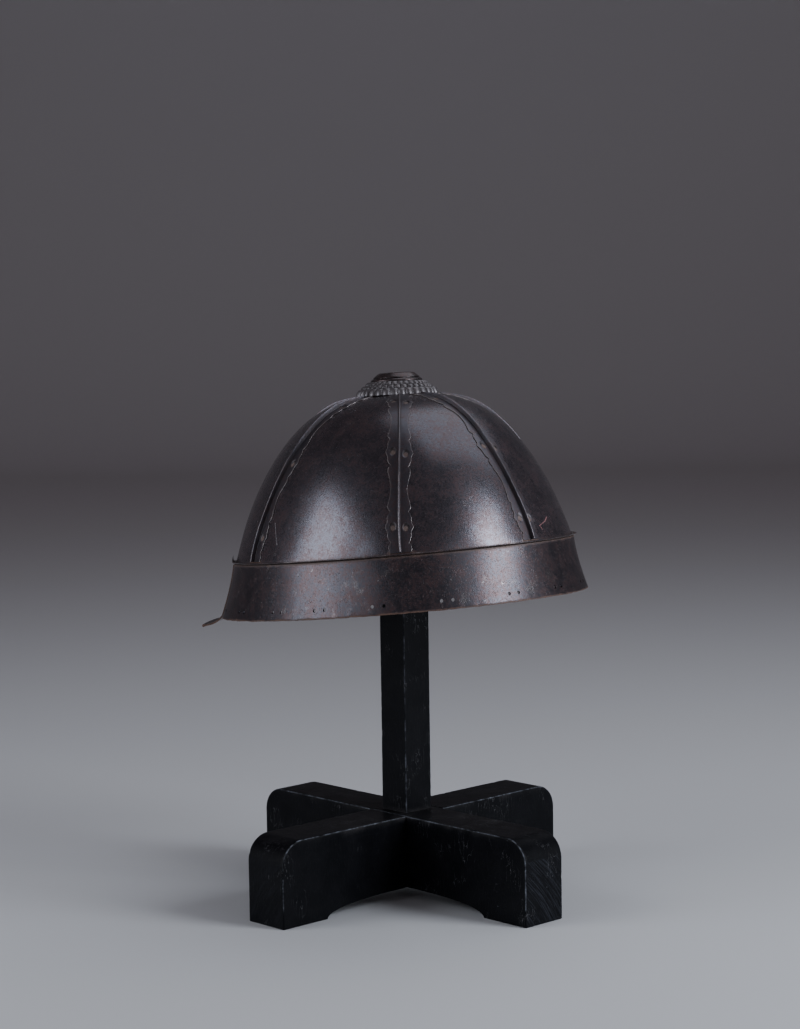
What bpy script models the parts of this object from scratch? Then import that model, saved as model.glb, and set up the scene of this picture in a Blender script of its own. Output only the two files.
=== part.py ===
"""Samurai helmet on its stand: a bowl of six forged plates, rib strips, a waist band, a visor, a crown
fitting of petal rings, and a post on a cross of two half-lapped beams. Metres, +Z up, floor at z = 0.

Frames. The stand's beams lie along X and Y. The helmet frame has its origin on the post's axis at the
height of the seam between bowl and band, +X to the helmet's rear, +Y to the wearer's right and +Z up
through the bowl. Angles in it are measured from the rear, and grow towards the wearer's right.
"""

import math

import bmesh
import bpy
from mathutils import Euler, Matrix, Vector

# Stand
BEAM_LENGTH = 0.241
BEAM_WIDTH = 0.0326
BEAM_HEIGHT = 0.0537
BEAM_END_RADIUS = 0.0155
BEAM_EDGE = 0.0010
FOOT_PAD_LENGTH = 0.0365
ARCH_RISE = 0.0075
ARCH_POWER = 4.0
POST_SIDE = 0.0224
POST_EDGE = 0.0012
TENON_SIDE = 0.012
TENON_DEPTH = 0.030

# How the helmet sits on the post
SEAM_HEIGHT = 0.2230
REAR_HEADING = math.radians(67.5)
FRONT_DOWN = math.radians(5.97)
LEFT_DOWN = math.radians(2.25)

# Bowl: a superellipse dome over an oval seam, with its crown a little behind the middle
SEAM_HALF_LENGTH = 0.1159
SEAM_HALF_WIDTH = 0.1051
DOME_HEIGHT = 0.0973
DOME_SIDE_POWER = 3.0
DOME_TOP_POWER = 1.12
CROWN_SHIFT_REAR = 0.0046
CROWN_SHIFT_RIGHT = 0.0035
CROWN_SHIFT_POWER = 1.6
CROWN_FALL_REAR = 0.022
CROWN_FALL_RIGHT = 0.029
PLATE_THICKNESS = 0.0016
PLATE_TUCK = 0.006
PLATE_COLUMN = math.radians(7.2)
PLATE_CLIMBS = tuple(math.radians(a) for a in (0, 10, 20, 30, 40, 50, 60, 70, 79, 87))

# Ribs: a strip with scalloped edges on each plate joint, and a thin flange standing on it
RIBS = (
    ("rear_right", math.radians(23.8)),
    ("side_right", math.radians(82.3)),
    ("front_right", math.radians(137.0)),
    ("front_left", math.radians(223.0)),
    ("side_left", math.radians(277.7)),
    ("rear_left", math.radians(336.2)),
)
PLATES = ("side_right", "front_right", "front", "front_left", "side_left", "rear")
STRIP_THICKNESS = 0.0009
STRIP_END_RADIUS = 0.0205
RIB_THICKNESS = 0.0013
RIB_HEIGHT = 0.0030
RIB_END_RADIUS = 0.0270
RIVET_PERIOD = 0.0498
FIRST_RIVET = 0.0164
STRIP_SPACING = 0.0008
# Distance from the nearest rivet along the rib, and the strip's half width there
SCALLOP = (
    (0.0000, 0.0085),
    (0.0035, 0.0072),
    (0.0098, 0.0057),
    (0.0125, 0.0072),
    (0.0180, 0.0060),
    (0.0249, 0.0050),
)

# Waist band and its bent-out lip. The band leans a little to the helmet's front left as it goes down
BAND_THICKNESS = 0.0012
BAND_HEIGHT = 0.0349
# Drop below the seam, and the band's outer face there as an offset from the seam's oval
BAND_SECTION = (
    (0.0000, 0.0016),
    (0.0040, 0.0018),
    (0.0120, 0.0035),
    (0.0230, 0.0063),
    (BAND_HEIGHT, 0.0102),
)
BAND_LEAN_FRONT = 0.0008
BAND_LEAN_LEFT = 0.0022
LIP_OFFSET = 0.0034
BAND_COLUMNS = 60
HOLE_RADIUS = 0.0011
HOLE_DROP = 0.0295
HOLE_PAIR_SPACING = math.radians(3.5)
HOLE_PAIR_ANGLES = tuple(
    math.radians(a) for a in (-103, -84, -65.2, -49.1, -30.7, -10, 12, 32, 52, 71, 90, 108)
)

# Visor: a flange on the band's front that turns out into a brim with a rolled rim
VISOR_HALF_SPAN = math.radians(66)
VISOR_STATIONS = 24
VISOR_THICKNESS = 0.0016
VISOR_TOP = -0.0022
VISOR_BREAK_FRONT = -0.0180
VISOR_BREAK_END = -0.0335
VISOR_RIM_LEVEL = -0.0400
VISOR_REACH_FRONT = 0.034
VISOR_REACH_END = 0.0133
VISOR_RIM_RADIUS = 0.0015
VISOR_RIM_TURNS = tuple(math.radians(a) for a in (-60, -20, 20, 60))
# Shares of the reach and of the drop at the points of the brim's underside
VISOR_CURVE = ((0.16, 0.42), (0.45, 0.76), (1.00, 0.94))

# Crown fitting, as radii and heights over the pole of the bowl
PETALS = 32
CROWN_BORE = 0.0102
LOWER_PETAL_RADIUS = 0.0256
LOWER_PETAL_TOP_RADIUS = 0.0205
LOWER_PETAL_TOP = 0.0040
UPPER_PETAL_RADIUS = 0.0210
UPPER_PETAL_TOP_RADIUS = 0.0170
UPPER_PETAL_TOP = 0.0088
PETAL_DEPTH = 0.0008
COLLAR_TOP = 0.0110
COLLAR_RADIUS = 0.0162
RIM_FOOT_RADIUS = 0.0148
RIM_TOP_RADIUS = 0.0112
RIM_TOP = 0.0136
RIM_BORE = 0.0088
RIM_STEM_RADIUS = 0.0099
RIM_STEM_FOOT = -0.0015

GAP = 0.0003
LIP_CLEARANCE = 2 * GAP
CUT_MARGIN = 0.01
ROUND_STEPS = 28


def clear_scene():
    for thing in list(bpy.data.objects):
        bpy.data.objects.remove(thing, do_unlink=True)


def new_collection(name):
    collection = bpy.data.collections.new(name)
    bpy.context.scene.collection.children.link(collection)
    return collection


def new_material(name, colour, metallic, roughness):
    material = bpy.data.materials.new(name)
    material.use_nodes = True
    shader = material.node_tree.nodes["Principled BSDF"]
    shader.inputs["Base Color"].default_value = (*colour, 1.0)
    shader.inputs["Metallic"].default_value = metallic
    shader.inputs["Roughness"].default_value = roughness
    material.diffuse_color = (*colour, 1.0)
    return material


def iron(name, tint=1.0):
    """Dark russet iron; each piece has its own, a little lighter or darker than the next."""
    return new_material(name + "_iron", (0.085 * tint, 0.070 * tint, 0.062 * tint), 0.85, 0.42)


def black_wood(name):
    return new_material(name + "_wood", (0.022, 0.021, 0.022), 0.0, 0.45)


def add_object(name, mesh, material, collection, parent=None):
    thing = bpy.data.objects.new(name, mesh)
    collection.objects.link(thing)
    thing.parent = parent
    if material:
        mesh.materials.append(material)
    return thing


def add_cutter(name, mesh, collection, parent=None):
    cutter = add_object(name, mesh, None, collection, parent)
    cutter.hide_render = True
    cutter.display_type = "WIRE"
    return cutter


def add_frame(name, collection, parent, location, rotation):
    frame = bpy.data.objects.new(name, None)
    collection.objects.link(frame)
    frame.parent = parent
    frame.location = location
    frame.rotation_euler = rotation
    return frame


def smooth(mesh, angle=math.radians(35)):
    mesh.shade_smooth()
    mesh.set_sharp_from_angle(angle=angle)


def mesh_of(bm, name):
    mesh = bpy.data.meshes.new(name)
    bm.to_mesh(mesh)
    bm.free()
    return mesh


def box_mesh(name, low, high):
    bm = bmesh.new()
    bmesh.ops.create_cube(bm, size=1.0)
    size = [b - a for a, b in zip(low, high)]
    middle = [(a + b) / 2 for a, b in zip(low, high)]
    bmesh.ops.scale(bm, vec=size, verts=bm.verts)
    bmesh.ops.translate(bm, vec=middle, verts=bm.verts)
    return mesh_of(bm, name)


def grid_mesh(name, columns, rows, place, ring=False):
    """A grid whose vertex (column, row) goes to place(column, row), facing out from the Z axis."""
    bm = bmesh.new()
    bmesh.ops.create_grid(bm, x_segments=columns, y_segments=rows, size=0.5)
    for vertex in bm.verts:
        column = round((vertex.co.x + 0.5) * columns)
        row = round((vertex.co.y + 0.5) * rows)
        vertex.co = place(column, row)
    if ring:
        bmesh.ops.remove_doubles(bm, verts=bm.verts, dist=1e-6)
    bm.normal_update()
    outward = sum(f.normal.dot(Vector((*f.calc_center_median().xy, 0))) for f in bm.faces)
    if outward < 0:
        bmesh.ops.reverse_faces(bm, faces=bm.faces)
    return mesh_of(bm, name)


def loft_mesh(name, sections, ring=False):
    """Joins closed sections with the same number of points, as a closed ring or with both ends capped."""
    bm = bmesh.new()
    loops = [[bm.verts.new(point) for point in section] for section in sections]
    following = loops[1:] + loops[:1] if ring else loops[1:]
    for loop, after in zip(loops, following):
        for i, vertex in enumerate(loop):
            j = (i + 1) % len(loop)
            bm.faces.new((vertex, loop[j], after[j], after[i]))
    if not ring:
        bm.faces.new(loops[0])
        bm.faces.new(loops[-1])
    bmesh.ops.recalc_face_normals(bm, faces=bm.faces)
    return mesh_of(bm, name)


def turned_object(name, profile, material, collection, parent):
    """A profile of (radius, height), listed down its outer side, turned about Z."""
    bm = bmesh.new()
    vertices = [bm.verts.new((radius, 0, height)) for radius, height in profile]
    for i, vertex in enumerate(vertices):
        bm.edges.new((vertex, vertices[(i + 1) % len(vertices)]))
    turned = add_object(name, mesh_of(bm, name), material, collection, parent)
    screw = turned.modifiers.new("turn", "SCREW")
    screw.steps = screw.render_steps = ROUND_STEPS
    screw.use_merge_vertices = True
    screw.merge_threshold = 1e-5
    screw.use_smooth_shade = True
    return turned


def thicken(thing, thickness):
    wall = thing.modifiers.new("wall", "SOLIDIFY")
    wall.thickness = thickness
    wall.offset = -1
    wall.use_even_offset = True


def round_edges(thing, width, segments=2):
    bevel = thing.modifiers.new("edges", "BEVEL")
    bevel.width = width
    bevel.segments = segments
    bevel.limit_method = "ANGLE"
    bevel.angle_limit = math.radians(40)


def join_or_cut(thing, other, operation):
    boolean = thing.modifiers.new(other.name, "BOOLEAN")
    boolean.operation = operation
    boolean.object = other
    boolean.solver = "EXACT"


def dome_point(angle, climb):
    """A point on the bowl's outer face: climb is 0 at the seam and a right angle at the pole."""
    reach = max(math.cos(climb), 0.0) ** (2 / DOME_SIDE_POWER)
    rise = math.sin(climb) ** (2 / DOME_TOP_POWER)
    lean = rise**CROWN_SHIFT_POWER
    x = SEAM_HALF_LENGTH * reach * math.cos(angle) + CROWN_SHIFT_REAR * lean
    y = SEAM_HALF_WIDTH * reach * math.sin(angle) + CROWN_SHIFT_RIGHT * lean
    z = DOME_HEIGHT * rise - (CROWN_FALL_REAR * x + CROWN_FALL_RIGHT * y) * rise**2
    return Vector((x, y, z))


def dome_radius(climb):
    reach = max(math.cos(climb), 0.0) ** (2 / DOME_SIDE_POWER)
    return reach * (SEAM_HALF_LENGTH + SEAM_HALF_WIDTH) / 2


def dome_lifted(angle, climb, lift):
    """The same point moved along the bowl's outward normal."""
    step = 0.01
    across = dome_point(angle + step, climb) - dome_point(angle - step, climb)
    upward = dome_point(angle, min(climb + step, math.pi / 2)) - dome_point(angle, max(climb - step, 0.0))
    normal = across.cross(upward).normalized()
    return dome_point(angle, climb) + normal * lift


def seam_point(angle, offset, height):
    """A point at an offset outside the seam's oval, which leans to the front left as it goes down."""
    below = max(-height, 0.0) / BAND_HEIGHT
    return Vector(
        (
            (SEAM_HALF_LENGTH + offset) * math.cos(angle) - BAND_LEAN_FRONT * below,
            (SEAM_HALF_WIDTH + offset) * math.sin(angle) - BAND_LEAN_LEFT * below,
            height,
        )
    )


def band_offset(height):
    """The band's outer face at a height: nearly straight below the lip, then flaring out."""
    return between(BAND_SECTION, -height)


def build_plate(name, first_rib, last_rib, collection, parent):
    columns = round((last_rib - first_rib) / PLATE_COLUMN)

    def place(column, row):
        climb = PLATE_CLIMBS[max(row - 1, 0)]
        margin = GAP / 2 / dome_radius(climb)
        low, high = first_rib + margin, last_rib - margin
        angle = low + (high - low) * column / columns
        point = dome_point(angle, climb)
        return point if row else seam_point(angle, -GAP, -PLATE_TUCK)

    mesh = grid_mesh(name, columns, len(PLATE_CLIMBS), place)
    smooth(mesh)
    plate = add_object(name, mesh, iron(name), collection, parent)
    thicken(plate, PLATE_THICKNESS)
    return plate


def climbs_along(angle, pieces=240):
    """Pairs of distance walked up the bowl from the seam and climb, along one meridian."""
    walked = 0.0
    pairs = [(0.0, 0.0)]
    last = dome_point(angle, 0.0)
    for i in range(1, pieces + 1):
        climb = math.pi / 2 * i / pieces
        point = dome_point(angle, climb)
        walked += (point - last).length
        pairs.append((walked, climb))
        last = point
    return pairs


def between(pairs, value):
    """Reads a table of (key, value) pairs at any key, in straight lines between them."""
    for (k0, v0), (k1, v1) in zip(pairs, pairs[1:]):
        if value <= k1:
            return v0 + (v1 - v0) * (value - k0) / (k1 - k0)
    return pairs[-1][1]


def strip_stations(length):
    """Distances along a rib: every corner of the scalloped edge, and the strip's two ends."""
    stations = {0.0, length}
    for rivet in range(4):
        centre = FIRST_RIVET + rivet * RIVET_PERIOD
        for distance, _ in SCALLOP:
            stations.update((centre - distance, centre + distance))
    inside = sorted(s for s in stations if 0.0 <= s <= length)
    kept = [inside[0]]
    for station in inside[1:]:
        if station - kept[-1] > STRIP_SPACING:
            kept.append(station)
    kept[-1] = length
    return kept


def build_rib_strip(name, angle, collection, parent):
    walk = climbs_along(angle)
    total = walk[-1][0]
    strip_length = total - STRIP_END_RADIUS
    rib_length = total - RIB_END_RADIUS
    start = LIP_CLEARANCE
    stations = [max(s, start) for s in strip_stations(strip_length)]
    stations = sorted(set(stations) | {rib_length, rib_length + 2 * GAP})
    low, top = GAP, GAP + STRIP_THICKNESS
    sections = []
    for station in stations:
        climb = between(walk, station)
        from_rivet = abs((station - FIRST_RIVET + RIVET_PERIOD / 2) % RIVET_PERIOD - RIVET_PERIOD / 2)
        half = between(SCALLOP, from_rivet)
        crest = top + (RIB_HEIGHT if station <= rib_length else GAP / 4)
        outline = (
            (-half, low),
            (-half, top),
            (-RIB_THICKNESS / 2, top),
            (-RIB_THICKNESS / 2, crest),
            (RIB_THICKNESS / 2, crest),
            (RIB_THICKNESS / 2, top),
            (half, top),
            (half, low),
            (0.0, low),
        )
        radius = dome_radius(climb)
        sections.append([dome_lifted(angle + across / radius, climb, lift) for across, lift in outline])
    mesh = loft_mesh(name, sections)
    smooth(mesh, math.radians(30))
    return add_object(name, mesh, iron(name, 1.15), collection, parent)


def build_hole_punches(collection, parent):
    """A short bar through the band at each lacing hole."""
    bm = bmesh.new()
    for middle in HOLE_PAIR_ANGLES:
        for side in (-1, 1):
            angle = middle + side * HOLE_PAIR_SPACING / 2
            outside = seam_point(angle, band_offset(-HOLE_DROP), -HOLE_DROP)
            outward = Vector((outside.x / SEAM_HALF_LENGTH**2, outside.y / SEAM_HALF_WIDTH**2, 0)).normalized()
            turn = outward.to_track_quat("Z", "X").to_matrix().to_4x4()
            bmesh.ops.create_cone(
                bm,
                cap_ends=True,
                segments=6,
                radius1=HOLE_RADIUS,
                radius2=HOLE_RADIUS,
                depth=CUT_MARGIN,
                matrix=Matrix.Translation(outside) @ turn,
            )
    return add_cutter("hole_punches", mesh_of(bm, "hole_punches"), collection, parent)


def build_waist_band(collection, cutters, parent):
    lip_under = -BAND_THICKNESS
    profile = [(LIP_OFFSET, lip_under), (band_offset(lip_under), lip_under)]
    profile += [(offset, -drop) for drop, offset in BAND_SECTION[1:]]

    def place(column, row):
        offset, height = profile[row]
        return seam_point(2 * math.pi * column / BAND_COLUMNS, offset, height)

    mesh = grid_mesh("waist_band", BAND_COLUMNS, len(profile) - 1, place, ring=True)
    smooth(mesh)
    band = add_object("waist_band", mesh, iron("waist_band", 1.05), collection, parent)
    thicken(band, BAND_THICKNESS)
    join_or_cut(band, build_hole_punches(cutters, parent), "DIFFERENCE")
    return band


def offset_path(path, distance):
    """A copy of a path of (x, y) points, moved to its left by a distance."""
    moved = []
    for i, point in enumerate(path):
        before = Vector(path[max(i - 1, 0)])
        after = Vector(path[min(i + 1, len(path) - 1)])
        along = (after - before).normalized()
        moved.append((point[0] - along.y * distance, point[1] + along.x * distance))
    return moved


def visor_outline(share):
    """The visor's section as (offset, height); share is 0 at the middle of the brow and 1 at either end."""
    fullness = math.cos(share * math.pi / 2) ** 2
    reach = VISOR_REACH_END + (VISOR_REACH_FRONT - VISOR_REACH_END) * fullness
    bend = VISOR_BREAK_END + (VISOR_BREAK_FRONT - VISOR_BREAK_END) * fullness
    root = band_offset(bend) + GAP
    drop = bend - VISOR_RIM_LEVEL
    under = [
        (band_offset(VISOR_TOP) + GAP, VISOR_TOP),
        (band_offset(bend / 2) + GAP, bend / 2),
        (root, bend),
    ]
    for out, down in VISOR_CURVE:
        under.append((root + out * (reach - VISOR_RIM_RADIUS), bend - down * drop))
    over = offset_path(under, VISOR_THICKNESS)
    middle = ((under[-1][0] + over[-1][0]) / 2, (under[-1][1] + over[-1][1]) / 2)
    rim = []
    for turn in VISOR_RIM_TURNS:
        rim.append(
            (
                middle[0] + VISOR_RIM_RADIUS * (0.4 + 1.2 * math.cos(turn)),
                middle[1] + VISOR_RIM_RADIUS * 1.2 * math.sin(turn),
            )
        )
    return under + rim + over[::-1]


def build_visor(collection, parent):
    sections = []
    for station in range(VISOR_STATIONS + 1):
        share = 2 * station / VISOR_STATIONS - 1
        angle = math.pi + VISOR_HALF_SPAN * share
        sections.append([seam_point(angle, o, h) for o, h in visor_outline(abs(share))])
    mesh = loft_mesh("visor", sections)
    smooth(mesh)
    return add_object("visor", mesh, iron("visor", 0.95), collection, parent)


def dome_fall(radius):
    """How far the bowl has fallen below its pole at a radius."""
    reach = radius * 2 / (SEAM_HALF_LENGTH + SEAM_HALF_WIDTH)
    return DOME_HEIGHT * (1 - (1 - reach**DOME_SIDE_POWER) ** (1 / DOME_TOP_POWER))


def fluted_ring(name, profile, collection, parent):
    """A ring of petals: each profile point is (radius, height, depth of the hollows between petals)."""
    sections = []
    for i in range(2 * PETALS):
        turn = math.pi * i / PETALS
        hollow = i % 2
        sections.append(
            [
                ((radius - hollow * depth) * math.cos(turn), (radius - hollow * depth) * math.sin(turn), height)
                for radius, height, depth in profile
            ]
        )
    mesh = loft_mesh(name, sections, ring=True)
    smooth(mesh, math.radians(20))
    return add_object(name, mesh, iron(name, 1.2), collection, parent)


def build_crown(collection, parent):
    seat = 2 * GAP + STRIP_THICKNESS + GAP
    bore, rim, top = CROWN_BORE, LOWER_PETAL_RADIUS, LOWER_PETAL_TOP_RADIUS
    middle = (bore + rim) / 2
    fluted_ring(
        "crown_lower_petals",
        (
            (bore, seat - dome_fall(bore), 0),
            (middle, seat - dome_fall(middle), 0),
            (rim, seat - dome_fall(rim), PETAL_DEPTH),
            (rim - 0.0006, seat - dome_fall(rim) + 0.0016, PETAL_DEPTH),
            (top, LOWER_PETAL_TOP, PETAL_DEPTH),
            (bore, LOWER_PETAL_TOP, 0),
        ),
        collection,
        parent,
    )
    foot = LOWER_PETAL_TOP + GAP
    fluted_ring(
        "crown_upper_petals",
        (
            (CROWN_BORE, foot, 0),
            (UPPER_PETAL_RADIUS, foot, PETAL_DEPTH),
            (UPPER_PETAL_RADIUS - 0.0006, foot + 0.0014, PETAL_DEPTH),
            (UPPER_PETAL_TOP_RADIUS, UPPER_PETAL_TOP, PETAL_DEPTH),
            (CROWN_BORE, UPPER_PETAL_TOP, 0),
        ),
        collection,
        parent,
    )
    foot = UPPER_PETAL_TOP + GAP
    turned_object(
        "crown_collar",
        (
            (RIM_FOOT_RADIUS, COLLAR_TOP),
            (COLLAR_RADIUS, (foot + COLLAR_TOP) / 2),
            (COLLAR_RADIUS, foot),
            (CROWN_BORE, foot),
            (CROWN_BORE, COLLAR_TOP),
        ),
        iron("crown_collar", 1.1),
        collection,
        parent,
    )
    foot = COLLAR_TOP + GAP
    turned_object(
        "crown_rim",
        (
            (RIM_BORE + 0.0008, RIM_TOP),
            (RIM_TOP_RADIUS - 0.0005, RIM_TOP),
            (RIM_TOP_RADIUS, RIM_TOP - 0.0005),
            (RIM_FOOT_RADIUS, foot),
            (RIM_STEM_RADIUS, foot),
            (RIM_STEM_RADIUS, RIM_STEM_FOOT),
            (RIM_BORE, RIM_STEM_FOOT),
            (RIM_BORE, RIM_TOP - 0.0006),
        ),
        iron("crown_rim", 1.25),
        collection,
        parent,
    )


def beam_outline():
    """The side of a beam as (along, height): flat top, rounded ends, two foot pads and an arch between."""
    half = BEAM_LENGTH / 2
    arch = half - FOOT_PAD_LENGTH
    outline = []
    for i in range(6):
        turn = math.pi / 2 * i / 5
        outline.append(
            (
                half - BEAM_END_RADIUS * (1 - math.sin(turn)),
                BEAM_HEIGHT - BEAM_END_RADIUS * (1 - math.cos(turn)),
            )
        )
    outline.append((half, 0.0))
    for i in range(8):
        share = math.cos(math.pi / 2 * i / 7)
        outline.append((arch * share, ARCH_RISE * (1 - share**ARCH_POWER) ** 0.5))
    mirrored = [(-along, height) for along, height in outline[-2::-1]]
    return outline + mirrored


def beam_mesh(name):
    """The outline as a filled flat curve, given the beam's width and made a mesh."""
    curve = bpy.data.curves.new(name, "CURVE")
    curve.dimensions = "2D"
    curve.fill_mode = "BOTH"
    curve.extrude = BEAM_WIDTH / 2
    outline = beam_outline()
    spline = curve.splines.new("POLY")
    spline.points.add(len(outline) - 1)
    for point, (along, height) in zip(spline.points, outline):
        point.co = (along, height, 0.0, 1.0)
    spline.use_cyclic_u = True
    drawn = bpy.data.objects.new(name, curve)
    bpy.context.scene.collection.objects.link(drawn)
    graph = bpy.context.evaluated_depsgraph_get()
    mesh = bpy.data.meshes.new_from_object(drawn.evaluated_get(graph))
    bpy.data.objects.remove(drawn, do_unlink=True)
    bm = bmesh.new()
    bm.from_mesh(mesh)
    bmesh.ops.remove_doubles(bm, verts=bm.verts, dist=1e-5)
    bmesh.ops.rotate(bm, matrix=Matrix.Rotation(math.pi / 2, 3, "X"), verts=bm.verts)
    bmesh.ops.dissolve_limit(bm, angle_limit=math.radians(0.5), verts=bm.verts, edges=bm.edges)
    bmesh.ops.recalc_face_normals(bm, faces=bm.faces)
    bm.to_mesh(mesh)
    bm.free()
    return mesh


def build_beams(collection, cutters, parent):
    """Two beams, half-lapped at the crossing, with the post's mortise through the joint."""
    lap = (ARCH_RISE + BEAM_HEIGHT) / 2
    slot = BEAM_WIDTH / 2 + GAP
    mortise = TENON_SIDE / 2 + GAP
    sides = (
        ("beam_x", 0.0, (lap - GAP / 2, BEAM_HEIGHT + CUT_MARGIN)),
        ("beam_y", math.pi / 2, (-CUT_MARGIN, lap + GAP / 2)),
    )
    socket = add_cutter(
        "mortise",
        box_mesh(
            "mortise",
            (-mortise, -mortise, BEAM_HEIGHT - TENON_DEPTH - GAP),
            (mortise, mortise, BEAM_HEIGHT + CUT_MARGIN),
        ),
        cutters,
        parent,
    )
    for name, heading, (low, high) in sides:
        beam = add_object(name, beam_mesh(name), black_wood(name), collection, parent)
        beam.rotation_euler = (0, 0, heading)
        round_edges(beam, BEAM_EDGE)
        notch = add_cutter(
            name + "_notch",
            box_mesh(name + "_notch", (-slot, -BEAM_WIDTH, low), (slot, BEAM_WIDTH, high)),
            cutters,
            parent,
        )
        notch.rotation_euler = (0, 0, heading)
        join_or_cut(beam, notch, "DIFFERENCE")
        join_or_cut(beam, socket, "DIFFERENCE")


def build_seat_space(cutters, helmet_frame):
    """The room under the bowl that the post may fill, a little inside the plates' inner face."""
    depth = SEAM_HEIGHT + CUT_MARGIN * 2
    lift = -(PLATE_THICKNESS + 1.5 * GAP)
    columns = 36
    climbs = PLATE_CLIMBS[:0:-1]

    def place(column, row):
        angle = 2 * math.pi * column / columns
        if row < len(climbs):
            return dome_lifted(angle, climbs[row], lift)
        point = dome_lifted(angle, climbs[-1], lift)
        return Vector((point.x, point.y, -depth))

    mesh = grid_mesh("seat_space", columns, len(climbs), place, ring=True)
    bm = bmesh.new()
    bm.from_mesh(mesh)
    bmesh.ops.holes_fill(bm, edges=[e for e in bm.edges if e.is_boundary], sides=0)
    bmesh.ops.recalc_face_normals(bm, faces=bm.faces)
    bm.to_mesh(mesh)
    bm.free()
    return add_cutter("seat_space", mesh, cutters, helmet_frame)


def build_post(collection, cutters, parent, helmet_frame):
    """A square post, tenoned into the cross, whose top is shaped to the inside of the bowl."""
    half, tenon = POST_SIDE / 2, TENON_SIDE / 2
    foot = BEAM_HEIGHT + GAP
    top = SEAM_HEIGHT + DOME_HEIGHT + CUT_MARGIN
    post = add_object(
        "post",
        box_mesh("post", (-half, -half, foot), (half, half, top)),
        black_wood("post"),
        collection,
        parent,
    )
    round_edges(post, POST_EDGE)
    tongue = add_cutter(
        "post_tenon",
        box_mesh("post_tenon", (-tenon, -tenon, BEAM_HEIGHT - TENON_DEPTH), (tenon, tenon, foot + CUT_MARGIN)),
        cutters,
        parent,
    )
    join_or_cut(post, tongue, "UNION")
    join_or_cut(post, build_seat_space(cutters, helmet_frame), "INTERSECT")
    return post


def centre_footprint(root, collection):
    """Moves the whole so that the origin is the middle of the box around it, on the floor."""
    bpy.context.view_layer.update()
    graph = bpy.context.evaluated_depsgraph_get()
    xs, ys = [], []
    for thing in collection.objects:
        if thing.type != "MESH":
            continue
        shown = thing.evaluated_get(graph)
        for vertex in shown.data.vertices:
            place = shown.matrix_world @ vertex.co
            xs.append(place.x)
            ys.append(place.y)
    root.location.x -= (min(xs) + max(xs)) / 2
    root.location.y -= (min(ys) + max(ys)) / 2
    bpy.context.view_layer.update()


def main():
    clear_scene()
    parts = new_collection("samurai_helmet_on_stand")
    cutters = new_collection("cutters")
    root = add_frame("stand_frame", parts, None, (0, 0, 0), (0, 0, 0))
    helmet = add_frame(
        "helmet_frame",
        parts,
        root,
        (0, 0, SEAM_HEIGHT),
        Euler((LEFT_DOWN, -FRONT_DOWN, REAR_HEADING)),
    )
    pole = dome_point(0.0, math.pi / 2)
    crown_up = Vector((CROWN_FALL_REAR, CROWN_FALL_RIGHT, 1.0)).normalized()
    crown = add_frame("crown_frame", parts, helmet, pole, crown_up.to_track_quat("Z", "Y").to_euler())

    build_beams(parts, cutters, root)
    build_post(parts, cutters, root, helmet)
    for i, name in enumerate(PLATES):
        first = RIBS[i][1]
        last = RIBS[(i + 1) % len(RIBS)][1]
        if last < first:
            last += 2 * math.pi
        build_plate("plate_" + name, first, last, parts, helmet)
    for name, angle in RIBS:
        build_rib_strip("rib_strip_" + name, angle, parts, helmet)
    build_waist_band(parts, cutters, helmet)
    build_visor(parts, helmet)
    build_crown(parts, crown)
    centre_footprint(root, parts)


main()
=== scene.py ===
"""Samurai helmet on a black wooden stand: its fine surfaces, finishes, light and camera. Metres, +Z up.

The helmet frame has its origin on the post's axis at the height of the seam between bowl and band, +X to
the helmet's rear and +Y to the wearer's right. Angles in it start at the rear and grow towards the
wearer's right. Each surface is a numpy grid worked out in that frame, or in the stand's, and then carried
into the part's own frame.
"""

import itertools
import logging
import math
from dataclasses import dataclass, field
from enum import Enum
from typing import Any, Sequence

import bmesh
import bpy
import numpy as np
from mathutils import Euler, Matrix, Vector
from numpy.typing import NDArray


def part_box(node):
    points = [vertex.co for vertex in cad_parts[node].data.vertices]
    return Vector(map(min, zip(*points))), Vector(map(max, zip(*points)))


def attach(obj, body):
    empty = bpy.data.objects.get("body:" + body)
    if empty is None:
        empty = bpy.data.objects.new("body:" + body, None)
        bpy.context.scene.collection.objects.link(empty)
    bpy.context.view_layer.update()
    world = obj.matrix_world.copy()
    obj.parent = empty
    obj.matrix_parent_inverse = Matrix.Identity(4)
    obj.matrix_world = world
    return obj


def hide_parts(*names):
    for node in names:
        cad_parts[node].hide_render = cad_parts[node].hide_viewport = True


Material = bpy.types.Material
Array = NDArray[np.float64]
Whole = NDArray[np.int64]
Colour = tuple[float, float, float]
Place = tuple[float, float, float]
Stroke = tuple[Place, Place, Colour]
Layers = dict[str, Array | float]

log = logging.getLogger("helmet")

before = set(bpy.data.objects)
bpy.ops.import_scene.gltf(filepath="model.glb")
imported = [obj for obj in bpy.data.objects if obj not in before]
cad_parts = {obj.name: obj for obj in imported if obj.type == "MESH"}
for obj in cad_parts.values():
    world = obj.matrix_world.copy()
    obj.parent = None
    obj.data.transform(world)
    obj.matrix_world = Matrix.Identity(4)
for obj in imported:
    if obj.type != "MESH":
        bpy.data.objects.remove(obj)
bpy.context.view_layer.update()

ROOT = "root"
GAP = 0.0003


class Cap(Enum):
    """How the two ends of a swept grid are closed."""

    NONE = "none"
    ZIP = "zip"
    FACE = "face"


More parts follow.
